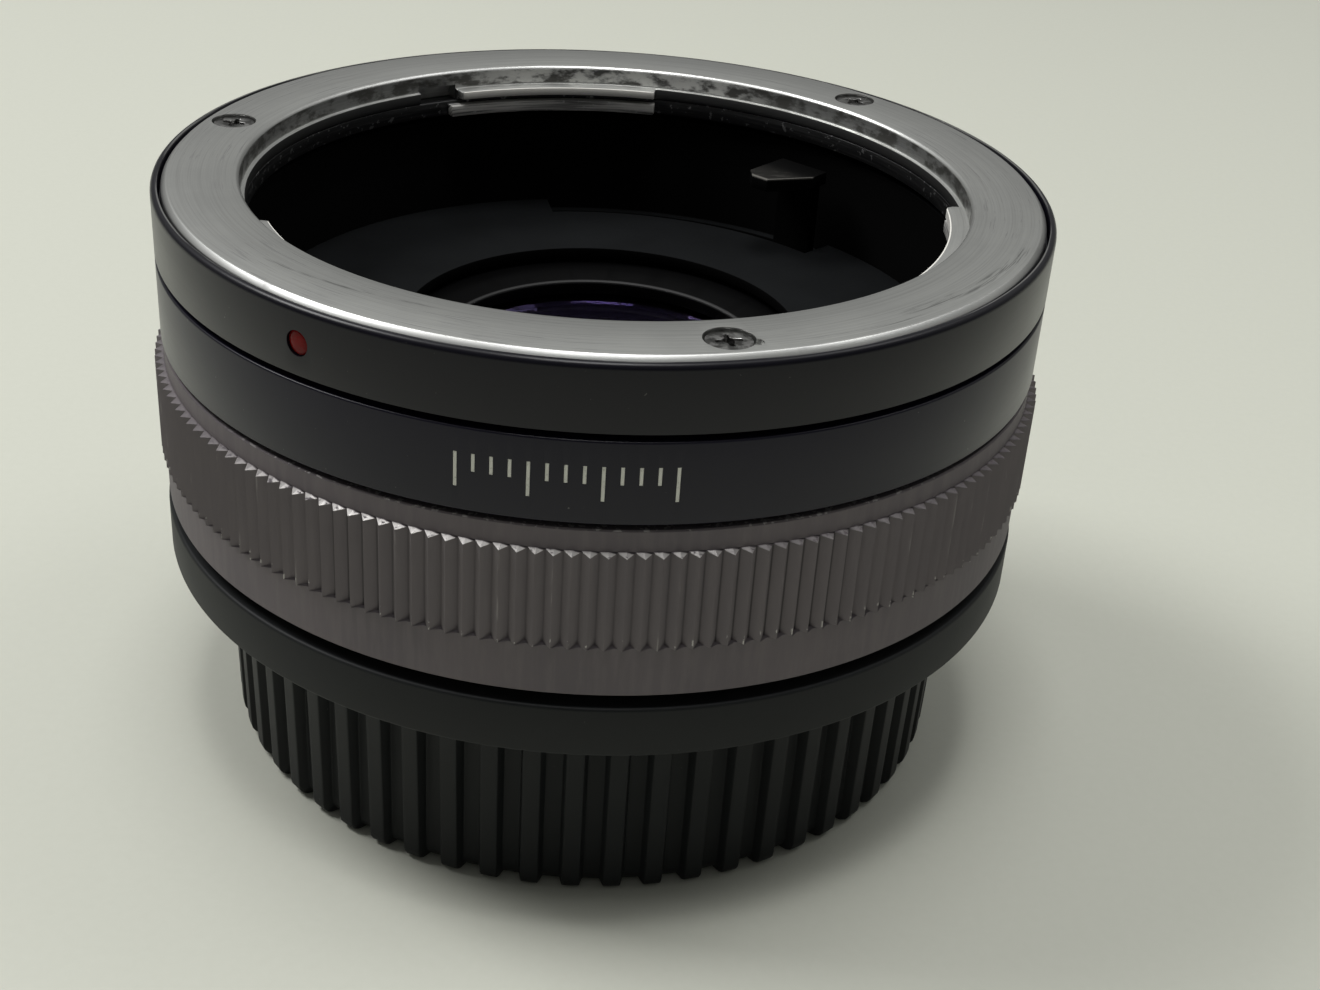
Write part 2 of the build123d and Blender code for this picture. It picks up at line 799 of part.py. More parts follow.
def rear_mount_ring():
    """The steel bayonet that goes into a camera or into the cap."""
    ring = turned(
        (rear_bore_radius, lug_bottom),
        (rear_tube_radius - edge_break, lug_bottom),
        (rear_tube_radius, lug_bottom + edge_break),
        (rear_tube_radius, rear_face),
        (rear_flange_radius - edge_break, rear_face),
        (rear_flange_radius, rear_face + edge_break),
        (rear_flange_radius, tube_bottom),
        (rear_bore_radius, tube_bottom),
    )
    lug_start = -lug_sweep_deg / 2
    lug = sector(rear_tube_radius - overrun, lug_radius, lug_bottom, lug_top, lug_start, lug_sweep_deg)
    ring = fused([ring] + around(lug_middle_angles, lug))
    hole = screw_hole(rear_screw_length)
    holes = on_circle(hole, rear_screw_angles, rear_screw_radius, rear_screw_level, turn_over=True)
    blind_bottom = cell_screw_level - cell_screw_length - fit_gap
    blind = peg(screw_shank_radius + fit_gap, blind_bottom, tube_bottom + overrun, cell_screw_radius)
    pin_place = Rot(0, 0, stop_pin_angle) * Pos(rear_tube_radius, 0, stop_pin_level) * Rot(0, 90, 0)
    pin_hole = pin_place * Cylinder(stop_pin_radius, rear_tube_wall)
    return cut(ring, holes + around(cell_screw_angles, blind) + [pin_hole])


def rear_screws():
    """Four countersunk screws from the rear mount up into the main tube."""
    piece = screw(rear_screw_length)
    return Compound(on_circle(piece, rear_screw_angles, rear_screw_radius, rear_screw_level, True))


def cell_screws():
    """Three screws that hold the cell's flange to the rear mount."""
    piece = screw(cell_screw_length)
    return Compound(on_circle(piece, cell_screw_angles, cell_screw_radius, cell_screw_level))


def stop_pin():
    """The pin on the rear tube that ends the bayonet's turn."""
    inner = rear_tube_radius - rear_tube_wall / 2
    outer = rear_tube_radius + stop_pin_reach
    place = Rot(0, 0, stop_pin_angle) * Pos((inner + outer) / 2, 0, stop_pin_level) * Rot(0, 90, 0)
    return place * Cylinder(stop_pin_radius - fit_gap / 2, outer - inner)


# Rear cap

def cap_ribs():
    """The ribs around the cap's cup, drawn in a little at their feet and rounded there."""
    inner = cap_wall_radius - cap_foot_radius - rib_foot_radius
    top = cap_rim_bottom + overrun
    envelope = turned(
        (inner, small_break),
        (rib_foot_outer_radius - rib_foot_radius, small_break),
        (rib_foot_outer_radius, small_break + rib_foot_radius),
        (rib_top_radius, top),
        (inner, top),
    )
    rib = bar(inner, rib_top_radius + overrun, rib_width, 0, cap_rim_top)
    step = 360 / rib_count
    return [Rot(0, 0, rib_phase_angle + number * step) * rib & envelope for number in range(rib_count)]


def rear_cap():
    """The moulded cap: a smooth rim, a ribbed cup under it and three inward tabs."""
    cup = turned(
        (0, 0),
        (cap_wall_radius - cap_foot_radius, 0),
        (cap_wall_radius, cap_foot_radius),
        (cap_wall_radius, cap_rim_bottom),
        (cap_rim_radius - cap_rim_edge, cap_rim_bottom),
        (cap_rim_radius, cap_rim_bottom + cap_rim_edge),
        (cap_rim_radius, cap_rim_top - cap_rim_edge),
        (cap_rim_radius - cap_rim_edge, cap_rim_top),
        (cap_bore_radius, cap_rim_top),
        (cap_bore_radius, cap_bore_bottom),
        (cap_inner_radius, cap_bore_bottom),
        (cap_inner_radius, cap_floor),
        (0, cap_floor),
    )
    tab = sector(
        cap_tab_radius,
        cap_bore_radius + overrun,
        cap_tab_bottom,
        cap_tab_top,
        -cap_tab_sweep_deg / 2,
        cap_tab_sweep_deg,
    )
    return (cup + cap_ribs()) + around(cap_tab_middle_angles, tab)


# Everything, by name

def lever_parts(name, ring_bottom, angle):
    """The ring, the two levers and the rivets that swing together."""
    return {
        name + "_ring": lever_ring(ring_bottom, angle),
        name + "_front_lever": front_lever(ring_bottom, angle),
        name + "_rear_lever": rear_lever(ring_bottom, angle),
        name + "_rivets": lever_rivets(ring_bottom, angle),
    }


def all_parts():
    """Every piece of the object under the name of its node."""
    parts = {
        "front_mount_ring": front_mount_ring(),
        "mount_spring_ring": mount_spring_ring(),
        "front_screws": front_screws(),
        "front_collar": front_collar(),
        "index_dot": index_dot(),
        "marked_ring": marked_ring(),
        "index_marks": index_marks(),
        "grip_ring": grip_ring(),
        "main_tube": main_tube(),
        "baffle_plate": baffle_plate(),
        "optic_cell": optic_cell(),
        "front_lens_retainer": front_lens_retainer(),
        "rear_lens_retainer": rear_lens_retainer(),
        "retaining_clip": retaining_clip(),
        "stop_down_spring": coil_sleeve(stop_down_ring_bottom + sheet, clip_bottom),
        "signal_spring": coil_sleeve(signal_ring_bottom + sheet, stop_down_ring_bottom),
        "rear_mount_ring": rear_mount_ring(),
        "rear_screws": rear_screws(),
        "cell_screws": cell_screws(),
        "bayonet_stop_pin": stop_pin(),
        "rear_cap": rear_cap(),
    }
    for name, rim_top, rim, face_shares in glasses:
        parts[name] = lens(rim_top, rim, face_shares)
    parts.update(glass_spacers())
    parts.update(lever_parts("stop_down", stop_down_ring_bottom, stop_down_angle))
    parts.update(lever_parts("signal", signal_ring_bottom, signal_angle))
    return parts


os.makedirs("parts", exist_ok=True)
for node, shape in all_parts().items():
    export_step(shape, os.path.join("parts", node + ".step"))
    print(node, round(shape.volume, 2))
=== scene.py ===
import math

import bmesh
import bpy
from mathutils import Matrix, Vector


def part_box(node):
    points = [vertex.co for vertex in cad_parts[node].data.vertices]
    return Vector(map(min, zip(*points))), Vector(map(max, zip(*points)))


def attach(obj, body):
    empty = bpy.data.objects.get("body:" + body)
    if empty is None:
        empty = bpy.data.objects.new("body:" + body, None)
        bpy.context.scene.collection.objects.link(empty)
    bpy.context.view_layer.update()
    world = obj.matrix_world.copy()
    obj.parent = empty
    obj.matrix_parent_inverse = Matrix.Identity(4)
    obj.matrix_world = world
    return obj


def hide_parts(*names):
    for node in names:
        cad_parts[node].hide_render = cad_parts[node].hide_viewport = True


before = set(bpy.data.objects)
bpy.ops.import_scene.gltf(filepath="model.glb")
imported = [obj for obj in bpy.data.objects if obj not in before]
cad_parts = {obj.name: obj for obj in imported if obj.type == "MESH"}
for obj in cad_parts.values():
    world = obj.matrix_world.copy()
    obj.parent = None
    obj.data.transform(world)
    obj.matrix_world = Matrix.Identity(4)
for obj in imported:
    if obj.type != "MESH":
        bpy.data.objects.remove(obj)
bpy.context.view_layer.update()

# A camera teleconverter on its rear cap, in the frame of the model: metres, with +Z along the optical
# axis towards the lens side. Lengths are written as millimetres times MM, and angles are degrees.
MM = 0.001

# Tolerances of the mesh work, the angle that counts as flat, and the one past which an edge is sharp
WELD = 0.001 * MM
CLOSE = 0.01 * MM
FLAT_ANGLE = 0.4
SHARP_ANGLE = 35

# Sizes of the visible pieces, from the model's own boxes and named values
PLATE_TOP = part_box("front_mount_ring")[1].z
PLATE_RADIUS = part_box("front_mount_ring")[1].x
COLLAR_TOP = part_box("front_collar")[1].z
BODY_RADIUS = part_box("front_collar")[1].x
RING_LOW, RING_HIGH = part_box("marked_ring")[0].z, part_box("marked_ring")[1].z
GRIP_LOW, GRIP_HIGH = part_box("grip_ring")[0].z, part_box("grip_ring")[1].z
KNURL_RADIUS = 31.73 * MM
CAP_RIM_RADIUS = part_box("rear_cap")[1].x
CAP_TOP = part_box("rear_cap")[1].z

# Plate
BORE_RADIUS = 25.35 * MM
LEDGE_RADIUS = 25.05 * MM
LEDGE_LEVEL = PLATE_TOP - 1.4 * MM
TAB_RADIUS = 24.05 * MM
TAB_THICKNESS = 0.6 * MM
# Each tab: the angle that it starts at and its sweep
TABS = ((82, 38.2), (202, 39.5), (322, 39.5))
TAB_CORNER = 0.4 * MM
PLATE_BOTTOM = LEDGE_LEVEL
PLATE_CHAMFER = 0.35 * MM
PLATE_ROUND = 0.07 * MM
BORE_CHAMFER = 0.2 * MM
NECK_BOTTOM = PLATE_TOP - 2.25 * MM
NECK_RADIUS = 27.0 * MM
NOTCH_ANGLE = 123.85
NOTCH_RISE = 0.3 * MM
NOTCH_SIZE = (2 * MM, 3.25 * MM, 1.4 * MM)
# The front screw stands a little further round than the even spacing of the model's screws
FRONT_SCREW_SHIFT = -1.5
SCREW_ANGLES = (46.6, 166.6, -73.4 + FRONT_SCREW_SHIFT)
SCREW_CIRCLE = 28.2 * MM
SCREW_HOLE_RADIUS = 1.58 * MM
SCREW_HOLE_DEPTH = 1.1 * MM
STAKE_PLACE = (8.95 * MM, -27.5 * MM, PLATE_TOP)
STAKE_RADIUS = 0.42 * MM
STAKE_DEPTH = 0.3 * MM
PLATE_STEPS = 720
HOLE_STEPS = 64
# Each scratch: the angle that it starts at, its sweep, and in millimetres its radius, how much that
# grows with each degree, and its width
PLATE_SCRATCHES = (
    (-136, 24, 27.95, -0.044, 0.14),
    (-50, 28, 28.6, 0.031, 0.45),
    (-64, 20, 29.3, 0.01, 0.12),
)

# Collar and the dot
SEAT_RADIUS = 30.72 * MM
COLLAR_BORE = 27.05 * MM
COLLAR_LOW = 37.35 * MM
COLLAR_SHOULDER = 0.42 * MM
COLLAR_ROUND = 0.05 * MM
GROOVE_RADIUS = 30.4 * MM
DOT_ANGLE = -124.5
DOT_LEVEL = 39.45 * MM
DOT_RADIUS = 0.82 * MM
DOT_STEPS = 48
POCKET_DEPTH = 0.45 * MM
# The paint's section: shares of its radius and levels from the collar's face
DOT_PROFILE = (
    (0, -POCKET_DEPTH), (1.01, -POCKET_DEPTH), (1.01, -0.22 * MM), (0.9, -0.15 * MM), (0.75, -0.11 * MM),
    (0.55, -0.085 * MM), (0.3, -0.07 * MM), (0, -0.065 * MM),
)

# Marked ring and its row of marks
MARKED_BORE = 29.0 * MM
MARKED_ROUND = 0.15 * MM
MARK_COUNT = 13
MARK_START = -105
MARK_STEP = 2
LONG_MARK_EVERY = 4
MARK_TOP = RING_HIGH - 1.65 * MM
MARK_GROOVE = (0.3 * MM, 0.24 * MM)
LONG_MARK, SHORT_MARK = 2.3 * MM, 1.2 * MM

# The springs' leaves reach inside this radius
LEAF_RADIUS = 24.85 * MM

# The bright lip of the front retainer
LIP_RADIUS = 11.95 * MM
LIP_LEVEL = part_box("front_lens_retainer")[1].z - 0.78 * MM

# Grip ring
KNURL_TEETH = 184
KNURL_LOW, KNURL_HIGH = 22.9 * MM, 29.55 * MM
KNURL_ROOT = 31.0 * MM
UPPER_BAND = 31.1 * MM
LOWER_BAND = 31.4 * MM
GRIP_BORE = 29.2 * MM
LOWER_CHAMFER, UPPER_CHAMFER = 0.15 * MM, 0.1 * MM
TOOTH_END_RISE = 0.12 * MM
TOOTH_FOOT_RISE = 0.01 * MM
BURR_HEIGHT = 0.6 * MM

# Lever's paddle, along its own direction, and the slanted cut across its near corner
PADDLE_ANGLE = 49.4
PADDLE_TIP = 19.0 * MM
PADDLE_TOP = 36.9 * MM
BRIGHT_TIP_LENGTH = 2.3 * MM
PADDLE_SLANT = -33.1
PADDLE_CUT_START = (18.75 * MM, -0.04 * MM, PADDLE_TOP)
PADDLE_CUT_MIDDLE = (1.1 * MM, -1 * MM, 0)
PADDLE_CUT_SIZE = (6.2 * MM, 2 * MM, 2.4 * MM)

# The rear levers' blades are worn from their ends up, over this length
BLADE_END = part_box("stop_down_rear_lever")[0].z
BLADE_WORN_LENGTH = 2 * MM

# Cap
CAP_RIM_LOW = 14.8 * MM
CAP_WALL = 26.6 * MM
CAP_BORE = 25.5 * MM
CAP_BORE_LOW = 14.4 * MM
CAP_INSIDE = 24.6 * MM
CAP_FLOOR = 1.8 * MM
RIB_COUNT = 60
# The mesh's steps from one rib to the next, and those that a rib reaches to each side of its middle
RIB_STEPS = 12
RIB_HALF_STEPS = 2.6
RIB_PHASE = -90.6
HALF_RIB_STEP = 180 / (RIB_COUNT * RIB_STEPS)
RIB_TOP, RIB_FOOT = 27.55 * MM, 27.25 * MM
WALL_FOOT_ROUND, RIB_FOOT_ROUND = 1.3 * MM, 1.0 * MM
FOOT_STEPS = 4
CAP_RIM_ROUND = 0.25 * MM
CAP_ROUND = 0.06 * MM
CAP_TAB_MIDDLES = (90, 210, 330)
CAP_TAB_SWEEP = 44
CAP_TAB_RADIUS = 24.25 * MM
CAP_TAB_LOW, CAP_TAB_HIGH = 16.7 * MM, 18.0 * MM

# Front glass: how far out it is curved, and the levels of its flat rim
GLASS_LAND = 12.6 * MM
GLASS_RIM_LOW, GLASS_RIM_HIGH = 25.9 * MM, 27.3 * MM
GLASS_RINGS = 15
GLASS_STEPS = 128

# Camera: its yaw, pitch and roll, its place in metres, the photograph's focal length and width in pixels,
# the sensor's width in millimetres, and the nearest and farthest that it sees
CAMERA_TURNS = (2.39, 29.25, 3.99)
CAMERA_PLACE = (0, -0.12306, 0.0851)
FOCAL_PIXELS = 1829.48
PHOTO_PIXELS = 1320
SENSOR_WIDTH = 36
CAMERA_CLIP = (0.01, 20)

# Half the side of the table top, in metres
TABLE_REACH = 3

# Each lamp: its name, its place, the point that it looks at, its size in metres and its power
LAMPS = (
    ("window", (-0.47, 0.13, 0.64), (0, 0, 0.02), 0.28, 3.2),
    ("side", (0.42, 0.14, 0.7), (0, 0, 0.02), 0.3, 0.7),
    ("ceiling", (0, 0, 0.85), (0, 0, 0.02), 0.26, 1.72),
    ("strip", (-0.03, -0.14, 0.76), (0, -0.03, 0), 0.18, 0.85),
)

# How the room's brightness changes with a direction's Y and Z: from, to, and the factors at both
ROOM_FADES = (("Y", (-0.5, 0.5, 0.09, 0.26)), ("Z", (0.25, 0.46, 0.62, 1.5)))


# Mesh helpers

def spun(corners, steps, hollow=True):
    """A ring from a profile of (radius, level) corners, turned about the optical axis.

    The profile of a ring closes on itself. That of a solid starts and ends on the axis.
    """
    bm = bmesh.new()
    points = [bm.verts.new((radius, 0, level)) for radius, level in corners]
    ends = points[:1] if hollow else []
    for first, second in zip(points, points[1:] + ends):
        bm.edges.new((first, second))
    profile = list(bm.verts) + list(bm.edges)
    bmesh.ops.spin(
        bm, geom=profile, cent=(0, 0, 0), axis=(0, 0, 1), steps=steps, angle=math.tau, use_merge=True
    )
    bmesh.ops.remove_doubles(bm, verts=bm.verts, dist=WELD)
    bmesh.ops.recalc_face_normals(bm, faces=bm.faces)
    return bm


def turn_of(point):
    """The angle of a point about the optical axis, from 0 to 360 degrees."""
    return math.degrees(math.atan2(point.y, point.x)) % 360


def reach_of(point):
    """The distance of a point from the optical axis."""
    return math.hypot(point.x, point.y)


def inside_arc(angle, start, sweep):
    """Whether an angle lies on an arc that starts at an angle and runs counterclockwise."""
    return (angle - start) % 360 < sweep


def move_to_radius(verts, radius):
    """Moves points straight in or out from the axis."""
    for vert in verts:
        scale = radius / reach_of(vert.co)
        vert.co.x *= scale
        vert.co.y *= scale


def pushed(bm, radius, low, high, start, sweep, new_radius):
    """Extrudes the part of a bore between two levels, on an arc, to another radius."""
    faces = []
    for face in bm.faces:
        middle = face.calc_center_median()
        on_wall = all(abs(reach_of(v.co) - radius) < CLOSE for v in face.verts)
        if on_wall and low < middle.z < high and inside_arc(turn_of(middle), start, sweep):
            faces.append(face)
    made = bmesh.ops.extrude_face_region(bm, geom=faces)["geom"]
    bmesh.ops.delete(bm, geom=faces, context="FACES")
    moved = [item for item in made if isinstance(item, bmesh.types.BMVert)]
    move_to_radius(moved, new_radius)
    return moved


def round_ends(verts, start, sweep, radius, corner):
    """Rounds the two outer corners of a tab, seen along the axis."""
    for vert in verts:
        from_start = (turn_of(vert.co) - start) % 360
        along = math.radians(min(from_start, abs(sweep - from_start))) * radius
        if along < corner:
            move_to_radius([vert], radius + corner - math.sqrt(corner**2 - (corner - along) ** 2))


def circle_edges(bm, radius, level):
    """The edges that run around the axis at a radius and a level."""
    on_circle = {v for v in bm.verts if abs(v.co.z - level) + abs(reach_of(v.co) - radius) < CLOSE}
    return [e for e in bm.edges if on_circle.issuperset(e.verts)]


def rounded(bm, edges, width, segments):
    """Rounds the edges given."""
    bmesh.ops.bevel(
        bm, geom=edges, offset=width, affect="EDGES", segments=segments, profile=0.5, material=-1,
        clamp_overlap=True,
    )


def soften(bm, width, limit=30, segments=2):
    """Rounds every edge that is sharper than an angle."""
    sharp = [e for e in bm.edges if e.is_manifold and e.calc_face_angle() > math.radians(limit)]
    rounded(bm, sharp, width, segments)


def merged(node):
    """A copy of a node's mesh with its triangles joined and its flat faces whole."""
    bm = bmesh.new()
    bm.from_mesh(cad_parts[node].data)
    bmesh.ops.remove_doubles(bm, verts=bm.verts, dist=WELD)
    bmesh.ops.dissolve_limit(bm, angle_limit=math.radians(FLAT_ANGLE), verts=bm.verts, edges=bm.edges)
    return bm


def as_object(name, bm, smooth_angle=SHARP_ANGLE):
    """An object at the origin from a finished mesh, smooth but for its sharp edges."""
    mesh = bpy.data.meshes.new(name)
    bm.to_mesh(mesh)
    bm.free()
    mesh.polygons.foreach_set("use_smooth", [True] * len(mesh.polygons))
    mesh.set_sharp_from_angle(angle=math.radians(smooth_angle))
    made = bpy.data.objects.new(name, mesh)
    bpy.context.scene.collection.objects.link(made)
    return made


def carved(piece, cutter):
    """Takes a cutter's shape out of a piece, for good."""
    cut = piece.modifiers.new("cut", "BOOLEAN")
    cut.operation = "DIFFERENCE"
    cut.solver = "EXACT"
    cut.object = cutter
    view = bpy.context.evaluated_depsgraph_get()
    mesh = bpy.data.meshes.new_from_object(piece.evaluated_get(view))
    piece.modifiers.clear()
    piece.data = mesh
    mesh.set_sharp_from_angle(angle=math.radians(SHARP_ANGLE))
    bpy.data.objects.remove(cutter)


def turned(angle):
    """A turn about the optical axis."""
    return Matrix.Rotation(math.radians(angle), 4, "Z")


def at_face(angle, level):
    """The place of something on the black rings' face, with its own Z pointing outward."""
    place = turned(angle) @ Matrix.Translation((BODY_RADIUS, 0, level))
    return place @ Matrix.Rotation(math.pi / 2, 4, "Y")


def round_cutter(name, place, radius, depth, steps):
    """A round cutter that reaches a depth to both sides of its place."""
    bm = bmesh.new()
    bmesh.ops.create_cone(
        bm, cap_ends=True, segments=steps, radius1=radius, radius2=radius, depth=2 * depth, matrix=place
    )
    return as_object(name, bm)


def fitted(piece, body, finish, slot, *nodes):
    """Gives a piece its material and its body, and hides the nodes that it stands for."""
    piece.data.materials.clear()
    piece.data.materials.append(finish)
    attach(piece, body)
    if nodes:
        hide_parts(*nodes)
    return piece


# Shader helpers

class Wire:
    """One socket of a material under work, where sums add Math nodes."""

    def __init__(self, paint, socket):
        self.paint = paint
        self.socket = socket

    def math(self, operation, *others):
        """One Math node on this value and others."""
        return self.paint.math(operation, self, *others)

    def __add__(self, other):
        return self.math("ADD", other)

    def __sub__(self, other):
        return self.math("SUBTRACT", other)

    def __rsub__(self, other):
        return self.paint.math("SUBTRACT", other, self)

    def __mul__(self, other):
        return self.math("MULTIPLY", other)

    def __truediv__(self, other):
        return self.math("DIVIDE", other)

    __radd__ = __add__
    __rmul__ = __mul__

    def above(self, low, high):
        """0 under the first value, 1 over the second and a soft step between."""
        settings = {"interpolation_type": "SMOOTHSTEP"}
        return self.paint.add("ShaderNodeMapRange", settings, {0: self, 1: low, 2: high})

    def over(self, length, soft=0.04):
        """0 under a length in metres, 1 a little over it."""
        return self.above(length / MM, length / MM + soft)

    def between(self, low, high, soft):
        """1 between two values and 0 outside them."""
        return self.above(low - soft, low) * (1 - self.above(high, high + soft))


class Paint:
    """A material under work."""

    def __init__(self, name):
        self.material = bpy.data.materials.new(name)
        self.material.use_nodes = True
        self.tree = self.material.node_tree
        self.surface = self.tree.nodes["Principled BSDF"]
        place = self.add("ShaderNodeTexCoord", {}, {}, "Object")
        self.place = self.add("ShaderNodeVectorMath", {"operation": "SCALE"}, {0: place, "Scale": 1 / MM})
        split = self.add("ShaderNodeSeparateXYZ", {}, {0: self.place}, 0)
        self.x = split
        self.y = Wire(self, split.socket.node.outputs[1])
        self.z = Wire(self, split.socket.node.outputs[2])
        self.radius = (self.x * self.x + self.y * self.y).math("SQRT")

    def math(self, operation, *values):
        """One Math node."""
        return self.add("ShaderNodeMath", {"operation": operation}, dict(enumerate(values)))

    def add(self, kind, settings, inputs, output=0):
        """A node with its settings, then its inputs as values or wires, as the wire of one output."""
        node = self.tree.nodes.new(kind)
        for setting, value in settings.items():
            setattr(node, setting, value)
        for key, value in inputs.items():
            if isinstance(value, Wire):
                self.tree.links.new(value.socket, node.inputs[key])
            else:
                node.inputs[key].default_value = value
        return Wire(self, node.outputs[output])

    def vector(self, x, y, z):
        """A vector from three values."""
        return self.add("ShaderNodeCombineXYZ", {}, {0: x, 1: y, 2: z})

    def noise(self, vector, scale, detail=3, roughness=0.55):
        """Cloudy noise from 0 to 1."""
        inputs = {"Vector": vector, "Scale": scale, "Detail": detail, "Roughness": roughness}
        return self.add("ShaderNodeTexNoise", {}, inputs)

    def lathe_lines(self, fineness, length):
        """Noise drawn out along the turning direction, as a lathe or a rubbed lug leaves it."""
        across = (self.radius + self.z) * fineness
        return self.noise(self.vector(self.x / length, self.y / length, across), 1, 4, 0.6)

    def scratches(self):
        """Where broken dark arcs cross the plate's face, left by the lugs of lenses."""
        angle = self.math("ARCTAN2", self.y, self.x).math("DEGREES")
        strokes = self.noise(self.vector(angle * 0.14, self.radius * 9, 0), 1, 3, 0.6).above(0.48, 0.6)
        found = 0
        for start, sweep, radius, rise, width in PLATE_SCRATCHES:
            off_line = (self.radius - radius - (angle - start) * rise).math("ABSOLUTE")
            on_arc = angle.between(start, start + sweep, 2)
            found = on_arc * (1 - off_line.above(width * 0.5, width)) + found
        return found * strokes

    def blend(self, factor, first, second):
        """A colour between two."""
        inputs = {0: factor, 6: self.colour(first), 7: self.colour(second)}
        return self.add("ShaderNodeMix", {"data_type": "RGBA"}, inputs, 2)

    def colour(self, value):
        """A colour with its alpha, or a wire as it is."""
        return value if isinstance(value, Wire) else (*value, 1)

    def bump(self, height, strength, distance, normal=None):
        """A surface direction from a height in millimetres, over another direction if there is one."""
        inputs = {"Height": height, "Strength": strength, "Distance": distance * MM}
        if normal:
            inputs["Normal"] = normal
        return self.add("ShaderNodeBump", {}, inputs)

    def done(self, **values):
        """Sets the surface's sockets, named with _ for spaces, and gives the material."""
        for name, value in values.items():
            socket = self.surface.inputs[name.replace("_", " ")]
            if isinstance(value, Wire):
                self.tree.links.new(value.socket, socket)
            else:
                socket.default_value = self.colour(value) if isinstance(value, tuple) else value
        return self.material


# Materials

def mount_steel():
    """Turned steel: fine lathe lines, arc scratches from lens lugs and a stained bore, with painted light
    on the bore's back wall, painted shade under the ledge and a painted highlight on the tabs' inner faces.
    """
    paint = Paint("mount steel")
    lines = paint.lathe_lines(7, 14)
    smudge = paint.noise(paint.place, 0.16, 4, 0.6)
    rubs = paint.lathe_lines(4.5, 5).above(0.55, 0.66) * paint.noise(paint.place, 0.09).above(0.48, 0.6)
    stains = paint.noise(paint.vector(paint.x, paint.y, paint.z * 2), 0.55, 5, 0.65)
    in_bore = (1 - paint.radius.over(BORE_RADIUS)) * (1 - paint.z.over(PLATE_TOP - BORE_CHAMFER))
    on_wall = in_bore * paint.z.over(LEDGE_LEVEL + PLATE_ROUND)
    dull = stains.above(0.42, 0.6) * on_wall
    steel = paint.blend(smudge.above(0.3, 0.7), (0.66, 0.665, 0.645), (0.57, 0.575, 0.56))
    steel = paint.blend(lines.above(0.35, 0.75) * 0.5, steel, (0.36, 0.36, 0.35))
    steel = paint.blend(rubs * 0.6, steel, (0.2, 0.2, 0.2))
    steel = paint.blend(dull * 0.75, steel, (0.12, 0.115, 0.1))
    # Painted light: the back of the bore wall is made pale between the stains, as if lit.
    pale = (1 - dull) * on_wall * paint.y.above(21, 24.5)
    steel = paint.blend(pale, steel, (0.9, 0.9, 0.86))
    # Painted shade: the bore wall under the ledge is made nearly black.
    in_neck = paint.z.over(NECK_BOTTOM - PLATE_ROUND) * (1 - paint.z.over(LEDGE_LEVEL - PLATE_ROUND))
    ledge_shade = in_bore * paint.radius.over(LEDGE_RADIUS - 2 * PLATE_ROUND) * in_neck
    steel = paint.blend(ledge_shade * 0.8, steel, (0.05, 0.05, 0.052))
    steel = paint.blend(paint.scratches() * 0.6, steel, (0.1, 0.1, 0.1))
    # Painted highlight: the tabs' inner faces are pale and barely metallic, as if catching the light.
    tab_highlight = (1 - paint.radius.over(TAB_RADIUS + PLATE_ROUND)) * paint.z.over(NECK_BOTTOM + PLATE_ROUND)
    steel = paint.blend(tab_highlight, steel, (0.9, 0.88, 0.82))
    roughness = 0.28 + lines * 0.1 + smudge * 0.08 + rubs * 0.12 + in_bore * 0.08 + pale * 0.2
    normal = paint.bump(lines + rubs * 0.5, 0.2, 0.008)
    metal = 1 - tab_highlight * 0.9
    return paint.done(Base_Color=steel, Metallic=metal, Roughness=roughness, Normal=normal)


def screw_steel():
    """Bright screw steel with dirt in cloudy patches."""
    paint = Paint("screw steel")
    wear = paint.noise(paint.place, 1.8, 3, 0.6)
    steel = paint.blend(wear.above(0.4, 0.6), (0.36, 0.355, 0.35), (0.1, 0.098, 0.095))
    normal = paint.bump(wear, 0.6, 0.05)
    return paint.done(Base_Color=steel, Metallic=1.0, Roughness=0.12 + wear * 0.15, Normal=normal)


def black_anodised():
    """Satin black anodising with faint turning lines and dust, and a painted highlight along the collar's
    edge by the seat, broken like rubbing.
    """
    paint = Paint("black anodised")
    lines = paint.lathe_lines(7, 10)
    cloud = paint.noise(paint.place, 0.12, 4, 0.6)
    specks = paint.noise(paint.place, 3.2, 2, 0.5).above(0.76, 0.8)
    base = paint.blend(cloud, (0.005, 0.0044, 0.0115), (0.008, 0.0072, 0.016))
    base = paint.blend(paint.z.over(RING_HIGH, 0.3) * 0.7, base, (0.0015, 0.0013, 0.003))
    base = paint.blend(specks * 0.35, base, (0.3, 0.3, 0.28))
    # Painted highlight: a broken bright line along the collar's edge by the seat, drawn like rubbing.
    past_seat = 1 - paint.radius.over(SEAT_RADIUS + 2 * COLLAR_ROUND)
    on_edge = paint.z.over(COLLAR_TOP - 3 * COLLAR_ROUND, 0.1)
    edge = paint.radius.over(SEAT_RADIUS - COLLAR_ROUND) * past_seat * on_edge
    rub_and_sheen = edge * lines.above(0.45, 0.6)
    base = paint.blend(rub_and_sheen * 0.6, base, (0.35, 0.35, 0.34))
    roughness = 0.24 + cloud * 0.08 + lines * 0.05
    normal = paint.bump(lines, 0.12, 0.008)
    return paint.done(
        Base_Color=base, Roughness=roughness, Metallic=rub_and_sheen * 0.6, Specular_IOR_Level=0.28, Normal=normal
    )


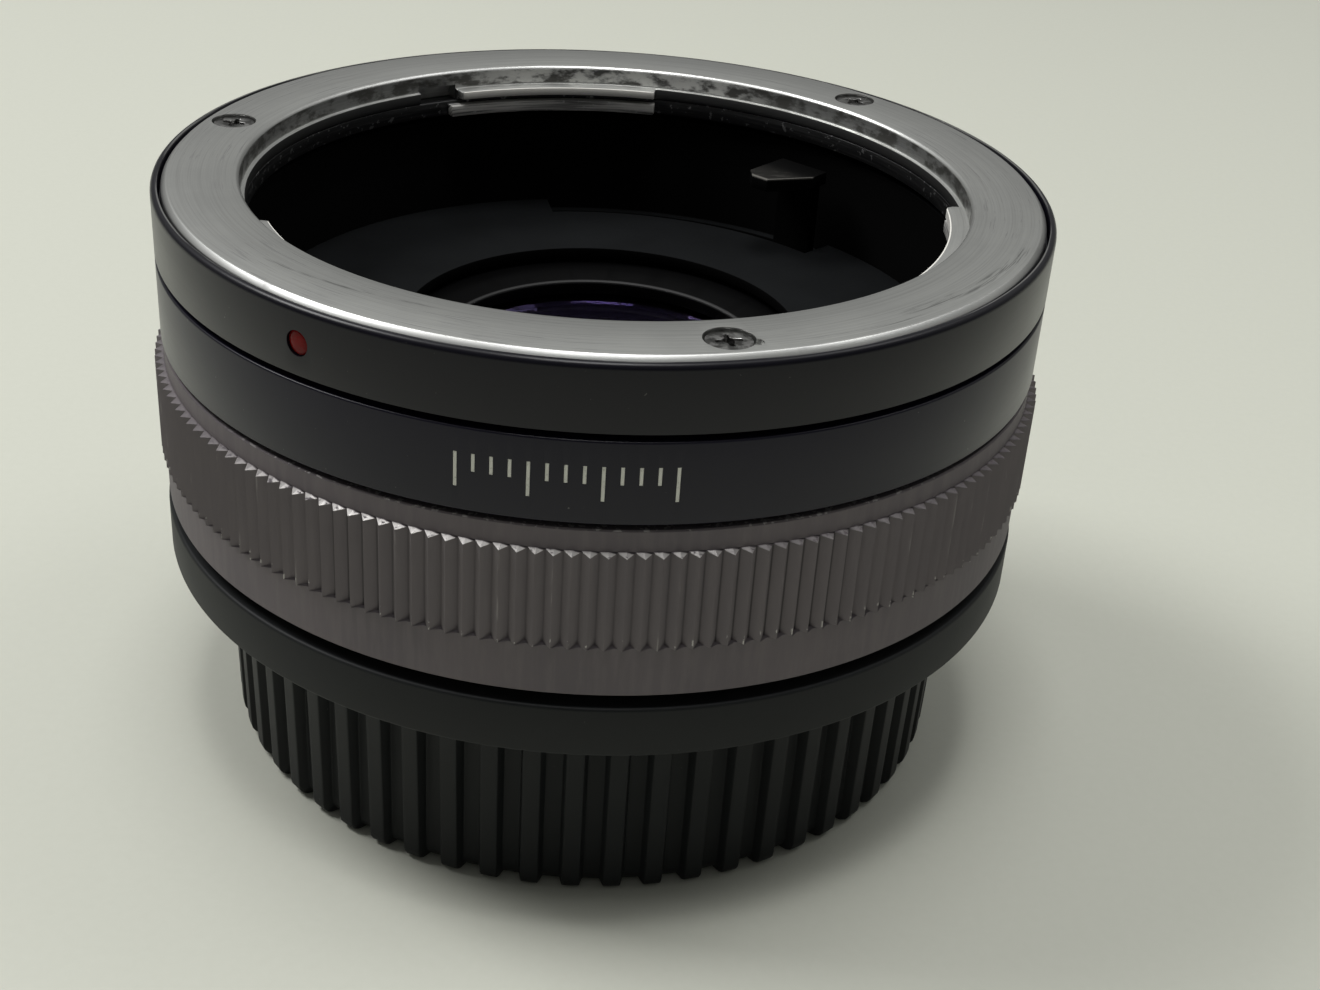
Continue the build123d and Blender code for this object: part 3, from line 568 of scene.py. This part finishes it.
def faded_anodised():
    """Black anodising faded to purple brown, rubbed to bare metal on the teeth's ends, with painted light:
    the bare ends and upper lip bright only on the lit front, lightened teeth, and painted shade in the
    valleys.
    """
    paint = Paint("faded anodised")
    streaks = paint.noise(paint.vector(paint.x, paint.y, paint.z * 0.12), 1.6, 3, 0.6)
    cloud = paint.noise(paint.place, 0.1, 4, 0.6)
    specks = paint.noise(paint.place, 2.4, 2, 0.5)
    base = paint.blend(cloud.above(0.3, 0.7), (0.138, 0.12, 0.128), (0.118, 0.104, 0.114))
    base = paint.blend(streaks.above(0.4, 0.7) * 0.4, base, (0.17, 0.15, 0.155))
    in_knurl = paint.radius.over(UPPER_BAND, 0.1)
    # Painted light: the bare metal on the teeth's ends and the upper lip is bright only on the front, lit
    # side, and less so to the right.
    front = (0 - paint.y).above(18, 28)
    lit = front * (1 - paint.x.above(5, 12) * 0.8)
    at_ends = paint.z.over(KNURL_HIGH - TOOTH_END_RISE - 5 * CLOSE, 0.06)
    ends = in_knurl * at_ends * specks.above(0.3, 0.45) * (0.08 + lit * 0.92)
    lip = paint.z.over(GRIP_HIGH - UPPER_CHAMFER) * specks.above(0.55, 0.65) * front
    tips = paint.radius.over(KNURL_RADIUS - TOOTH_END_RISE, 0.12)
    burrs = tips * (1 - paint.z.over(KNURL_LOW + BURR_HEIGHT, 0.3)) * specks.above(0.56, 0.62)
    tip_wear = tips * streaks.above(0.6, 0.7) * 0.25
    wear_and_light = (ends * 0.85 + burrs * 0.8 + tip_wear + lip * 0.6).math("MINIMUM", 1)
    past_teeth = paint.z.over(KNURL_HIGH - TOOTH_END_RISE - 2 * CLOSE, 0.02)
    on_teeth = paint.z.over(KNURL_LOW - 2 * CLOSE, 0.02) * (1 - past_teeth)
    # Painted shade: the valleys between the teeth are darkened, less so in an evenly lit band at the front.
    valley_shade = (1 - paint.radius.over(KNURL_ROOT + 3 * CLOSE, 0.09)) * on_teeth
    # Painted light: the teeth are lightened to offset the shade between them.
    base = paint.blend(on_teeth * 0.3, base, (0.3, 0.27, 0.28))
    evenly_lit = paint.x.between(-9, 3, 8)
    base = paint.blend(valley_shade * (0.6 - evenly_lit * 0.45), base, (0.012, 0.011, 0.012))
    base = paint.blend(wear_and_light, base, (0.62, 0.6, 0.58))
    roughness = 0.55 + cloud * 0.08 - wear_and_light * 0.15
    outward = paint.vector(paint.x, paint.y, 0)
    outward = paint.add("ShaderNodeVectorMath", {"operation": "NORMALIZE"}, {0: outward})
    face = paint.add("ShaderNodeNewGeometry", {}, {}, "Normal")
    mild = {"data_type": "VECTOR"}
    soft = paint.add("ShaderNodeMix", mild, {0: on_teeth * 0.72, 4: face, 5: outward}, 1)
    soft = paint.add("ShaderNodeVectorMath", {"operation": "NORMALIZE"}, {0: soft})
    normal = paint.bump(streaks + specks * 0.3, 0.2, 0.02, soft)
    return paint.done(
        Base_Color=base, Roughness=roughness, Metallic=wear_and_light * 0.9, Specular_IOR_Level=0.25, Normal=normal
    )


def inner_black():
    """Flat black paint of the throat, a little grey in cloudy patches on faces that point up."""
    paint = Paint("inner black")
    grain = paint.noise(paint.place, 3.5, 4, 0.6)
    cloud = paint.noise(paint.place, 0.2, 3, 0.5)
    face = paint.add("ShaderNodeNewGeometry", {}, {}, "Normal")
    up = paint.add("ShaderNodeSeparateXYZ", {}, {0: face}, 2)
    # Grey on faces that point up.
    facing_up = up.above(0.7, 0.95) * (0.6 + cloud * 0.6)
    base = paint.blend(facing_up, (0.0008, 0.0008, 0.0008), (0.0075, 0.0082, 0.0088))
    normal = paint.bump(grain, 0.25, 0.02)
    return paint.done(Base_Color=base, Roughness=0.7 + grain * 0.15, Specular_IOR_Level=0.06, Normal=normal)


def retainer_black():
    """Black anodising of the ring around the glass, bright along its inner lip."""
    paint = Paint("retainer black")
    lines = paint.lathe_lines(8, 8)
    lip = (1 - paint.radius.over(LIP_RADIUS, 0.15)) * paint.z.over(LIP_LEVEL, 0.1)
    base = paint.blend(lines, (0.0008, 0.0008, 0.0009), (0.002, 0.002, 0.0022))
    base = paint.blend(lip * 0.4, base, (0.12, 0.12, 0.12))
    normal = paint.bump(lines, 0.2, 0.015)
    return paint.done(
        Base_Color=base, Roughness=0.45 + lines * 0.1, Metallic=lip * 0.5, Specular_IOR_Level=0.05,
        Normal=normal,
    )


def lever_steel():
    """Blackened sheet steel, rubbed bright at the blade's end and along the paddle's tip edges, with
    painted light on the paddle's top near its tip.
    """
    paint = Paint("lever steel")
    rub_and_sheen = paint.noise(paint.vector(paint.x * 0.6, paint.y * 1.4, paint.z), 0.9, 4, 0.6)
    turn = math.radians(PADDLE_ANGLE)
    reach = paint.x * math.cos(turn) + paint.y * math.sin(turn)
    # Painted light: the paddle's top is bright only near its tip, as if lit there, over its rubbed tip
    # edges.
    lit_near_tip = 1 - reach.over(PADDLE_TIP + BRIGHT_TIP_LENGTH / 2, BRIGHT_TIP_LENGTH / MM)
    aside = paint.y * math.cos(turn) - paint.x * math.sin(turn)
    slant = math.radians(-PADDLE_SLANT)
    from_slant = reach * math.sin(slant) + aside * math.cos(slant)
    slant_start = PADDLE_CUT_START[0] * math.sin(slant) + PADDLE_CUT_START[1] * math.cos(slant)
    tip_edge = (1 - reach.over(PADDLE_TIP, 0.25)).math("MAXIMUM", 1 - from_slant.over(slant_start, 0.25))
    on_top = paint.z.over(PADDLE_TOP - 0.1 * MM, 0.1) * paint.y.above(0, 1)
    top = on_top * (lit_near_tip * (0.025 + rub_and_sheen.above(0.5, 0.7) * 0.05) + tip_edge * 0.25)
    tip = (1 - paint.z.over(BLADE_END, BLADE_WORN_LENGTH / MM)) * rub_and_sheen.above(0.45, 0.6)
    wear_and_light = top.math("MAXIMUM", tip)
    base = paint.blend(wear_and_light, (0.0012, 0.0012, 0.0012), (0.5, 0.48, 0.44))
    normal = paint.bump(rub_and_sheen, 0.3, 0.03)
    return paint.done(
        Base_Color=base, Metallic=wear_and_light, Roughness=0.6 - wear_and_light * 0.12, Specular_IOR_Level=0.08, Normal=normal
    )


def spring_steel():
    """Dark spring steel with small bright specks, and a painted reflection that makes the leaves under the
    tabs pale and barely metallic.
    """
    paint = Paint("spring steel")
    lines = paint.lathe_lines(6, 6)
    specks = paint.noise(paint.place, 1.9, 3, 0.6).above(0.6, 0.66)
    # Painted reflection: the leaves under the tabs are pale and barely metallic.
    lit_leaf = 1 - paint.radius.over(LEAF_RADIUS, 0.1)
    steel = paint.blend(lines.above(0.4, 0.7), (0.06, 0.06, 0.062), (0.1, 0.1, 0.1))
    steel = paint.blend(lit_leaf * lines.above(0.3, 0.6), steel, (0.62, 0.61, 0.58))
    steel = paint.blend(specks * 0.7, steel, (0.5, 0.5, 0.5))
    normal = paint.bump(lines + specks, 0.3, 0.02)
    metal = 1 - lit_leaf * 0.8
    return paint.done(Base_Color=steel, Metallic=metal, Roughness=0.4 + lines * 0.15, Normal=normal)


def cap_plastic():
    """Black moulded plastic with a fine spark texture and a little dust, and painted light that lightens
    the groove floors between the ribs against their shade.
    """
    paint = Paint("cap plastic")
    grain = paint.noise(paint.place, 6, 3, 0.6)
    cloud = paint.noise(paint.place, 0.14, 4, 0.6)
    # Painted light: the groove floors between the ribs are lighter, offsetting their shade.
    groove_light = 1 - paint.radius.over(CAP_WALL - 0.25 * MM, 0.25)
    base = paint.blend(cloud.above(0.3, 0.7), (0.0064, 0.0074, 0.0082), (0.0088, 0.01, 0.011))
    base = paint.blend(groove_light, base, (0.02, 0.022, 0.021))
    specks = paint.noise(paint.place, 2.6, 2, 0.5).above(0.76, 0.8)
    base = paint.blend(specks * 0.2, base, (0.2, 0.2, 0.19))
    normal = paint.bump(grain, 0.3, 0.012)
    return paint.done(
        Base_Color=base, Roughness=0.5 + cloud * 0.1, Specular_IOR_Level=0.25, Normal=normal
    )


def coated_glass():
    """Glass with a violet anti-reflection coating and a trace of dust."""
    paint = Paint("coated glass")
    dust = paint.noise(paint.place, 2.8, 3, 0.6).above(0.62, 0.8)
    tint = paint.blend(dust * 0.2, (0.93, 0.9, 0.95), (0.6, 0.6, 0.6))
    return paint.done(
        Base_Color=tint, Roughness=0.02 + dust * 0.08, Transmission_Weight=1.0, IOR=1.6,
        Specular_Tint=(0.12, 0.08, 0.3),
    )


def red_paint():
    """Glossy red paint pooled in the collar's pocket."""
    paint = Paint("red paint")
    pool = paint.noise(paint.place, 1.1, 3, 0.5)
    base = paint.blend(pool, (0.09, 0.0004, 0.0006), (0.17, 0.0008, 0.001))
    normal = paint.bump(pool, 0.6, 0.12)
    return paint.done(Base_Color=base, Roughness=0.15 + pool * 0.06, Specular_IOR_Level=0.12, Normal=normal)


def white_paint():
    """White paint rubbed into engraved marks."""
    paint = Paint("white paint")
    chips = paint.noise(paint.place, 3.0, 4, 0.6)
    base = paint.blend(chips.above(0.55, 0.75), (0.72, 0.72, 0.66), (0.45, 0.45, 0.42))
    return paint.done(Base_Color=base, Roughness=0.5 + chips * 0.2, Normal=paint.bump(chips, 0.4, 0.03))


# Front pieces

def notch_cutter():
    """The box that cuts the notch at one tab's end."""
    bm = bmesh.new()
    level = LEDGE_LEVEL + NOTCH_RISE - NOTCH_SIZE[2] / 2
    place = turned(NOTCH_ANGLE) @ Matrix.Translation((BORE_RADIUS, 0, level))
    bmesh.ops.create_cube(bm, size=1, matrix=place @ Matrix.Diagonal((*NOTCH_SIZE, 1)))
    return as_object("notch", bm)


def cut_plate(plate):
    """Cuts the screw holes, the notch and the mark of a punch beside the front screw."""
    for angle in SCREW_ANGLES:
        place = turned(angle) @ Matrix.Translation((SCREW_CIRCLE, 0, PLATE_TOP))
        carved(plate, round_cutter("screw hole", place, SCREW_HOLE_RADIUS, SCREW_HOLE_DEPTH, HOLE_STEPS))
    carved(plate, notch_cutter())
    stake = Matrix.Translation(STAKE_PLACE)
    carved(plate, round_cutter("stake mark", stake, STAKE_RADIUS, STAKE_DEPTH, HOLE_STEPS // 2))


def mount_plate(finish):
    """The steel plate with its ledge, three tabs, notch and screw holes."""
    tab_low = LEDGE_LEVEL - TAB_THICKNESS
    bm = spun(
        [
            (LEDGE_RADIUS, NECK_BOTTOM),
            (NECK_RADIUS, NECK_BOTTOM),
            (NECK_RADIUS, PLATE_BOTTOM),
            (PLATE_RADIUS, PLATE_BOTTOM),
            (PLATE_RADIUS, PLATE_TOP - PLATE_CHAMFER),
            (PLATE_RADIUS - PLATE_CHAMFER, PLATE_TOP),
            (BORE_RADIUS + BORE_CHAMFER, PLATE_TOP),
            (BORE_RADIUS, PLATE_TOP - BORE_CHAMFER),
            (BORE_RADIUS, LEDGE_LEVEL),
            (LEDGE_RADIUS, LEDGE_LEVEL),
            (LEDGE_RADIUS, tab_low),
        ],
        PLATE_STEPS,
    )
    for start, sweep in TABS:
        tab = pushed(bm, LEDGE_RADIUS, tab_low, LEDGE_LEVEL, start, sweep, TAB_RADIUS)
        round_ends(tab, start, sweep, TAB_RADIUS, TAB_CORNER)
    soften(bm, PLATE_ROUND)
    plate = as_object("mount_plate", bm)
    cut_plate(plate)
    return fitted(plate, "barrel", finish, "mount_steel", "front_mount_ring")


def collar(finish):
    """The black ring around the plate, with a rounded shoulder and the dot's pocket."""
    bm = spun(
        [
            (COLLAR_BORE, RING_HIGH),
            (GROOVE_RADIUS, RING_HIGH),
            (GROOVE_RADIUS, COLLAR_LOW),
            (BODY_RADIUS, COLLAR_LOW),
            (BODY_RADIUS, COLLAR_TOP),
            (SEAT_RADIUS, COLLAR_TOP),
            (SEAT_RADIUS, PLATE_BOTTOM),
            (COLLAR_BORE, PLATE_BOTTOM),
        ],
        PLATE_STEPS,
    )
    rounded(bm, circle_edges(bm, BODY_RADIUS, COLLAR_TOP), COLLAR_SHOULDER, 6)
    soften(bm, COLLAR_ROUND)
    ring = as_object("front_collar_ring", bm)
    carved(ring, round_cutter("pocket", at_face(DOT_ANGLE, DOT_LEVEL), DOT_RADIUS, POCKET_DEPTH, DOT_STEPS))
    return fitted(ring, "barrel", finish, "black_anodised", "front_collar")


def dot(finish):
    """The drop of red paint in its pocket."""
    bm = spun([(share * DOT_RADIUS, level) for share, level in DOT_PROFILE], DOT_STEPS, hollow=False)
    bmesh.ops.transform(bm, matrix=at_face(DOT_ANGLE, DOT_LEVEL), verts=bm.verts)
    return fitted(as_object("red_dot", bm), "barrel", finish, "red_paint", "index_dot")


def marked_band(finish):
    """The plain black ring, with shallow grooves for its marks."""
    bm = spun(
        [
            (MARKED_BORE, RING_LOW),
            (BODY_RADIUS, RING_LOW),
            (BODY_RADIUS, RING_HIGH),
            (MARKED_BORE, RING_HIGH),
        ],
        PLATE_STEPS,
    )
    soften(bm, MARKED_ROUND, segments=3)
    ring = as_object("marked_band", bm)
    cutter = bmesh.new()
    for number in range(MARK_COUNT):
        height = SHORT_MARK if number % LONG_MARK_EVERY else LONG_MARK
        turn = turned(MARK_START + MARK_STEP * number)
        place = turn @ Matrix.Translation((BODY_RADIUS, 0, MARK_TOP - height / 2))
        bmesh.ops.create_cube(cutter, size=1, matrix=place @ Matrix.Diagonal((*MARK_GROOVE, height, 1)))
    carved(ring, as_object("grooves", cutter))
    return fitted(ring, "barrel", finish, "black_anodised", "marked_ring")


def grip(finish):
    """The grip ring: two plain bands and pointed teeth between them."""
    bm = spun(
        [
            (GRIP_BORE, GRIP_LOW),
            (LOWER_BAND - LOWER_CHAMFER, GRIP_LOW),
            (LOWER_BAND, GRIP_LOW + LOWER_CHAMFER),
            (LOWER_BAND, KNURL_LOW),
            (KNURL_RADIUS, KNURL_LOW + TOOTH_FOOT_RISE),
            (KNURL_RADIUS, KNURL_HIGH - TOOTH_END_RISE),
            (UPPER_BAND, KNURL_HIGH),
            (UPPER_BAND, GRIP_HIGH - UPPER_CHAMFER),
            (UPPER_BAND - UPPER_CHAMFER, GRIP_HIGH),
            (GRIP_BORE, GRIP_HIGH),
        ],
        2 * KNURL_TEETH,
    )
    half_tooth = 180 / KNURL_TEETH
    tips = [v for v in bm.verts if abs(reach_of(v.co) - KNURL_RADIUS) < CLOSE]
    roots = [v for v in tips if round(turn_of(v.co) / half_tooth) % 2]
    move_to_radius(roots, KNURL_ROOT)
    for vert in roots:
        if vert.co.z < (KNURL_LOW + KNURL_HIGH) / 2:
            vert.co.z = KNURL_LOW
    ring = as_object("grip_band", bm, smooth_angle=20)
    return fitted(ring, "barrel", finish, "faded_anodised", "grip_ring")


# Cap

def rounded_foot(radius, size):
    """The profile corners of a rounded lower edge, from the underside up."""
    turns = [math.radians(90 * number / FOOT_STEPS) for number in range(FOOT_STEPS + 1)]
    return [(radius - size + size * math.sin(a), size - size * math.cos(a)) for a in turns]


def raise_ribs(bm, wall, rib):
    """Moves the wall's points at each rib from the wall's profile to the rib's."""
    step = 360 / RIB_COUNT
    targets = {(round(a[0], 6), round(a[1], 6)): b for a, b in zip(wall, rib)}
    for vert in bm.verts:
        key = (round(reach_of(vert.co), 6), round(vert.co.z, 6))
        from_rib = (turn_of(vert.co) - HALF_RIB_STEP + step / 2) % step - step / 2
        if key in targets and abs(from_rib) < RIB_HALF_STEPS * step / RIB_STEPS:
            radius, level = targets[key]
            move_to_radius([vert], radius)
            vert.co.z = level


def ribbed_cap(finish):
    """The moulded cap with its ribs, rim and inner tabs."""
    wall = rounded_foot(CAP_WALL, WALL_FOOT_ROUND) + [(CAP_WALL, CAP_RIM_LOW)]
    rib = rounded_foot(RIB_FOOT, RIB_FOOT_ROUND) + [(RIB_TOP, CAP_RIM_LOW)]
    rim = [
        (CAP_RIM_RADIUS, CAP_RIM_LOW),
        (CAP_RIM_RADIUS, CAP_TOP),
        (CAP_BORE, CAP_TOP),
        (CAP_BORE, CAP_TAB_HIGH),
        (CAP_BORE, CAP_TAB_LOW),
        (CAP_BORE, CAP_BORE_LOW),
        (CAP_INSIDE, CAP_BORE_LOW),
        (CAP_INSIDE, CAP_FLOOR),
        (0, CAP_FLOOR),
    ]
    bm = spun([(0, 0)] + wall + rim, RIB_COUNT * RIB_STEPS, hollow=False)
    raise_ribs(bm, wall, rib)
    bmesh.ops.transform(bm, matrix=turned(RIB_PHASE - HALF_RIB_STEP), verts=bm.verts)
    for middle in CAP_TAB_MIDDLES:
        start = middle - CAP_TAB_SWEEP / 2
        pushed(bm, CAP_BORE, CAP_TAB_LOW, CAP_TAB_HIGH, start, CAP_TAB_SWEEP, CAP_TAB_RADIUS)
    rims = circle_edges(bm, CAP_RIM_RADIUS, CAP_RIM_LOW) + circle_edges(bm, CAP_RIM_RADIUS, CAP_TOP)
    rounded(bm, rims, CAP_RIM_ROUND, 4)
    soften(bm, CAP_ROUND, limit=50)
    cap = as_object("ribbed_cap", bm, smooth_angle=40)
    return fitted(cap, "rear_cap", finish, "cap_plastic", "rear_cap")


# Glass

def front_glass(finish):
    """The front element, with a fine mesh for its curved faces."""
    low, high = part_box("front_element")
    top, under = [], []
    for number in range(GLASS_RINGS + 1):
        outward = number / GLASS_RINGS
        inward = 1 - outward**2
        top.append((outward * GLASS_LAND, GLASS_RIM_HIGH + inward * (high.z - GLASS_RIM_HIGH)))
        under.append((outward * GLASS_LAND, GLASS_RIM_LOW + inward * (low.z - GLASS_RIM_LOW)))
    side = [(high.x, GLASS_RIM_HIGH), (high.x, GLASS_RIM_LOW)]
    bm = spun(top + side + under[::-1], GLASS_STEPS, hollow=False)
    return fitted(as_object("front_glass", bm), "barrel", finish, "coated_glass", "front_element")


# Pieces refined from the model's own shapes

# Each refined node: its name, its body, its material and how wide its edges are rounded, in millimetres
REFINED = (
    ("main_tube", "barrel", "flocked_black", 0.08),
    ("baffle_plate", "barrel", "flocked_black", 0.06),
    ("optic_cell", "barrel", "flocked_black", 0.08),
    ("mount_spring_ring", "barrel", "spring_steel", 0.06),
    ("front_lens_retainer", "barrel", "retainer", 0.05),
    ("rear_lens_retainer", "barrel", "retainer", 0.05),
    ("retaining_clip", "barrel", "spring_steel", 0.05),
    ("rear_mount_ring", "barrel", "mount_steel", 0.08),
    ("front_screws", "barrel", "screw_steel", 0.04),
    ("rear_screws", "barrel", "screw_steel", 0.04),
    ("cell_screws", "barrel", "screw_steel", 0.04),
    ("bayonet_stop_pin", "barrel", "screw_steel", 0.1),
    ("rear_element", "barrel", "coated_glass", 0.05),
    ("stop_down_ring", "stop_down_lever", "lever_steel", 0.06),
    ("stop_down_front_lever", "stop_down_lever", "lever_steel", 0.12),
    ("stop_down_rear_lever", "stop_down_lever", "lever_steel", 0.12),
    ("stop_down_rivets", "stop_down_lever", "screw_steel", 0.05),
    ("signal_ring", "signal_lever", "lever_steel", 0.06),
    ("signal_front_lever", "signal_lever", "lever_steel", 0.12),
    ("signal_rear_lever", "signal_lever", "lever_steel", 0.12),
    ("signal_rivets", "signal_lever", "screw_steel", 0.05),
)
# Nodes that keep their own shape, and their materials
PLAIN = (
    ("index_marks", "white_paint"),
    ("stop_down_spring", "spring_steel"),
    ("signal_spring", "spring_steel"),
    ("second_element", "coated_glass"),
    ("third_element", "coated_glass"),
    ("front_spacer", "flocked_black"),
    ("middle_spacer", "flocked_black"),
    ("rear_spacer", "flocked_black"),
)


def paddle_corner():
    """The slanted cut across the near corner of the lever's paddle."""
    bm = bmesh.new()
    start = turned(PADDLE_ANGLE) @ Matrix.Translation(PADDLE_CUT_START)
    place = start @ turned(PADDLE_SLANT) @ Matrix.Translation(PADDLE_CUT_MIDDLE)
    bmesh.ops.create_cube(bm, size=1, matrix=place @ Matrix.Diagonal((*PADDLE_CUT_SIZE, 1)))
    return as_object("paddle corner", bm)


def shift_front_screw(piece):
    """Turns the nearest of the three screws to its own place."""
    for vert in piece.data.vertices:
        if vert.co.y < -SCREW_CIRCLE / 2:
            vert.co = turned(FRONT_SCREW_SHIFT) @ vert.co


def refined_pieces(finishes):
    """Copies of the smaller nodes with rounded edges and smooth round faces."""
    for node, body, slot, width in REFINED:
        bm = merged(node)
        soften(bm, width * MM, limit=40)
        piece = as_object(node + "_piece", bm)
        if node == "front_screws":
            shift_front_screw(piece)
        if node == "stop_down_front_lever":
            carved(piece, paddle_corner())
        record_slot = "flocked_black" if slot == "retainer" else slot
        fitted(piece, body, finishes[slot], record_slot, node)


def plain_nodes(finishes):
    """Better materials on the nodes that stay as they are."""
    for node, slot in PLAIN:
        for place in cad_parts[node].material_slots:
            place.material = finishes[slot]


# Scene

def floor():
    """A plain pale table top."""
    paint = Paint("pale table")
    grain = paint.noise(paint.place, 1.2, 3, 0.6)
    base = paint.blend(grain, (0.60, 0.61, 0.53), (0.63, 0.64, 0.56))
    finish = paint.done(Base_Color=base, Roughness=0.6, Normal=paint.bump(grain, 0.1, 0.05))
    bm = bmesh.new()
    bmesh.ops.create_grid(bm, x_segments=2, y_segments=2, size=TABLE_REACH)
    top = as_object("table_top", bm)
    top.data.materials.append(finish)


def camera():
    """The photograph's view."""
    yaw, pitch, roll = (math.radians(angle) for angle in CAMERA_TURNS)
    forward = Vector((math.sin(yaw) * math.cos(pitch), math.cos(yaw) * math.cos(pitch), -math.sin(pitch)))
    level_right = Vector((math.cos(yaw), -math.sin(yaw), 0))
    level_up = level_right.cross(forward)
    right = level_right * math.cos(roll) + level_up * math.sin(roll)
    up = level_up * math.cos(roll) - level_right * math.sin(roll)
    data = bpy.data.cameras.new("camera")
    data.sensor_width = SENSOR_WIDTH
    data.lens = FOCAL_PIXELS / PHOTO_PIXELS * SENSOR_WIDTH
    data.clip_start, data.clip_end = CAMERA_CLIP
    made = bpy.data.objects.new("camera", data)
    turn = Matrix((right, up, -forward)).transposed().to_4x4()
    made.matrix_world = Matrix.Translation(CAMERA_PLACE) @ turn
    bpy.context.scene.collection.objects.link(made)
    bpy.context.scene.camera = made


def lamp(name, place, target, size, power):
    """A soft square lamp that looks at a point."""
    data = bpy.data.lights.new(name, "AREA")
    data.size = size
    data.energy = power
    made = bpy.data.objects.new(name, data)
    made.location = place
    made.rotation_euler = (Vector(target) - Vector(place)).to_track_quat("-Z", "Y").to_euler()
    bpy.context.scene.collection.objects.link(made)


def light():
    """Soft studio light: a room that is paler behind the object, and four soft lamps."""
    world = bpy.data.worlds.new("room")
    world.use_nodes = True
    tree = world.node_tree
    background = tree.nodes["Background"]
    background.inputs["Color"].default_value = (1, 1.01, 0.98, 1)
    direction = tree.nodes.new("ShaderNodeTexCoord")
    split = tree.nodes.new("ShaderNodeSeparateXYZ")
    tree.links.new(direction.outputs["Generated"], split.inputs["Vector"])
    strength = tree.nodes.new("ShaderNodeMath")
    strength.operation = "MULTIPLY"
    for number, (axis, limits) in enumerate(ROOM_FADES):
        fade = tree.nodes.new("ShaderNodeMapRange")
        fade.interpolation_type = "SMOOTHSTEP"
        for name, value in zip(("From Min", "From Max", "To Min", "To Max"), limits):
            fade.inputs[name].default_value = value
        tree.links.new(split.outputs[axis], fade.inputs["Value"])
        tree.links.new(fade.outputs["Result"], strength.inputs[number])
    tree.links.new(strength.outputs[0], background.inputs["Strength"])
    bpy.context.scene.world = world
    for lamp_values in LAMPS:
        lamp(*lamp_values)


def main():
    """Builds the pieces, their materials and the scene."""
    finishes = {
        "mount_steel": mount_steel(),
        "screw_steel": screw_steel(),
        "black_anodised": black_anodised(),
        "faded_anodised": faded_anodised(),
        "flocked_black": inner_black(),
        "retainer": retainer_black(),
        "lever_steel": lever_steel(),
        "spring_steel": spring_steel(),
        "coated_glass": coated_glass(),
        "cap_plastic": cap_plastic(),
        "red_paint": red_paint(),
        "white_paint": white_paint(),
    }
    mount_plate(finishes["mount_steel"])
    collar(finishes["black_anodised"])
    dot(finishes["red_paint"])
    marked_band(finishes["black_anodised"])
    grip(finishes["faded_anodised"])
    ribbed_cap(finishes["cap_plastic"])
    front_glass(finishes["coated_glass"])
    refined_pieces(finishes)
    plain_nodes(finishes)
    floor()
    camera()
    light()
    bpy.context.scene.view_settings.view_transform = "Standard"


main()
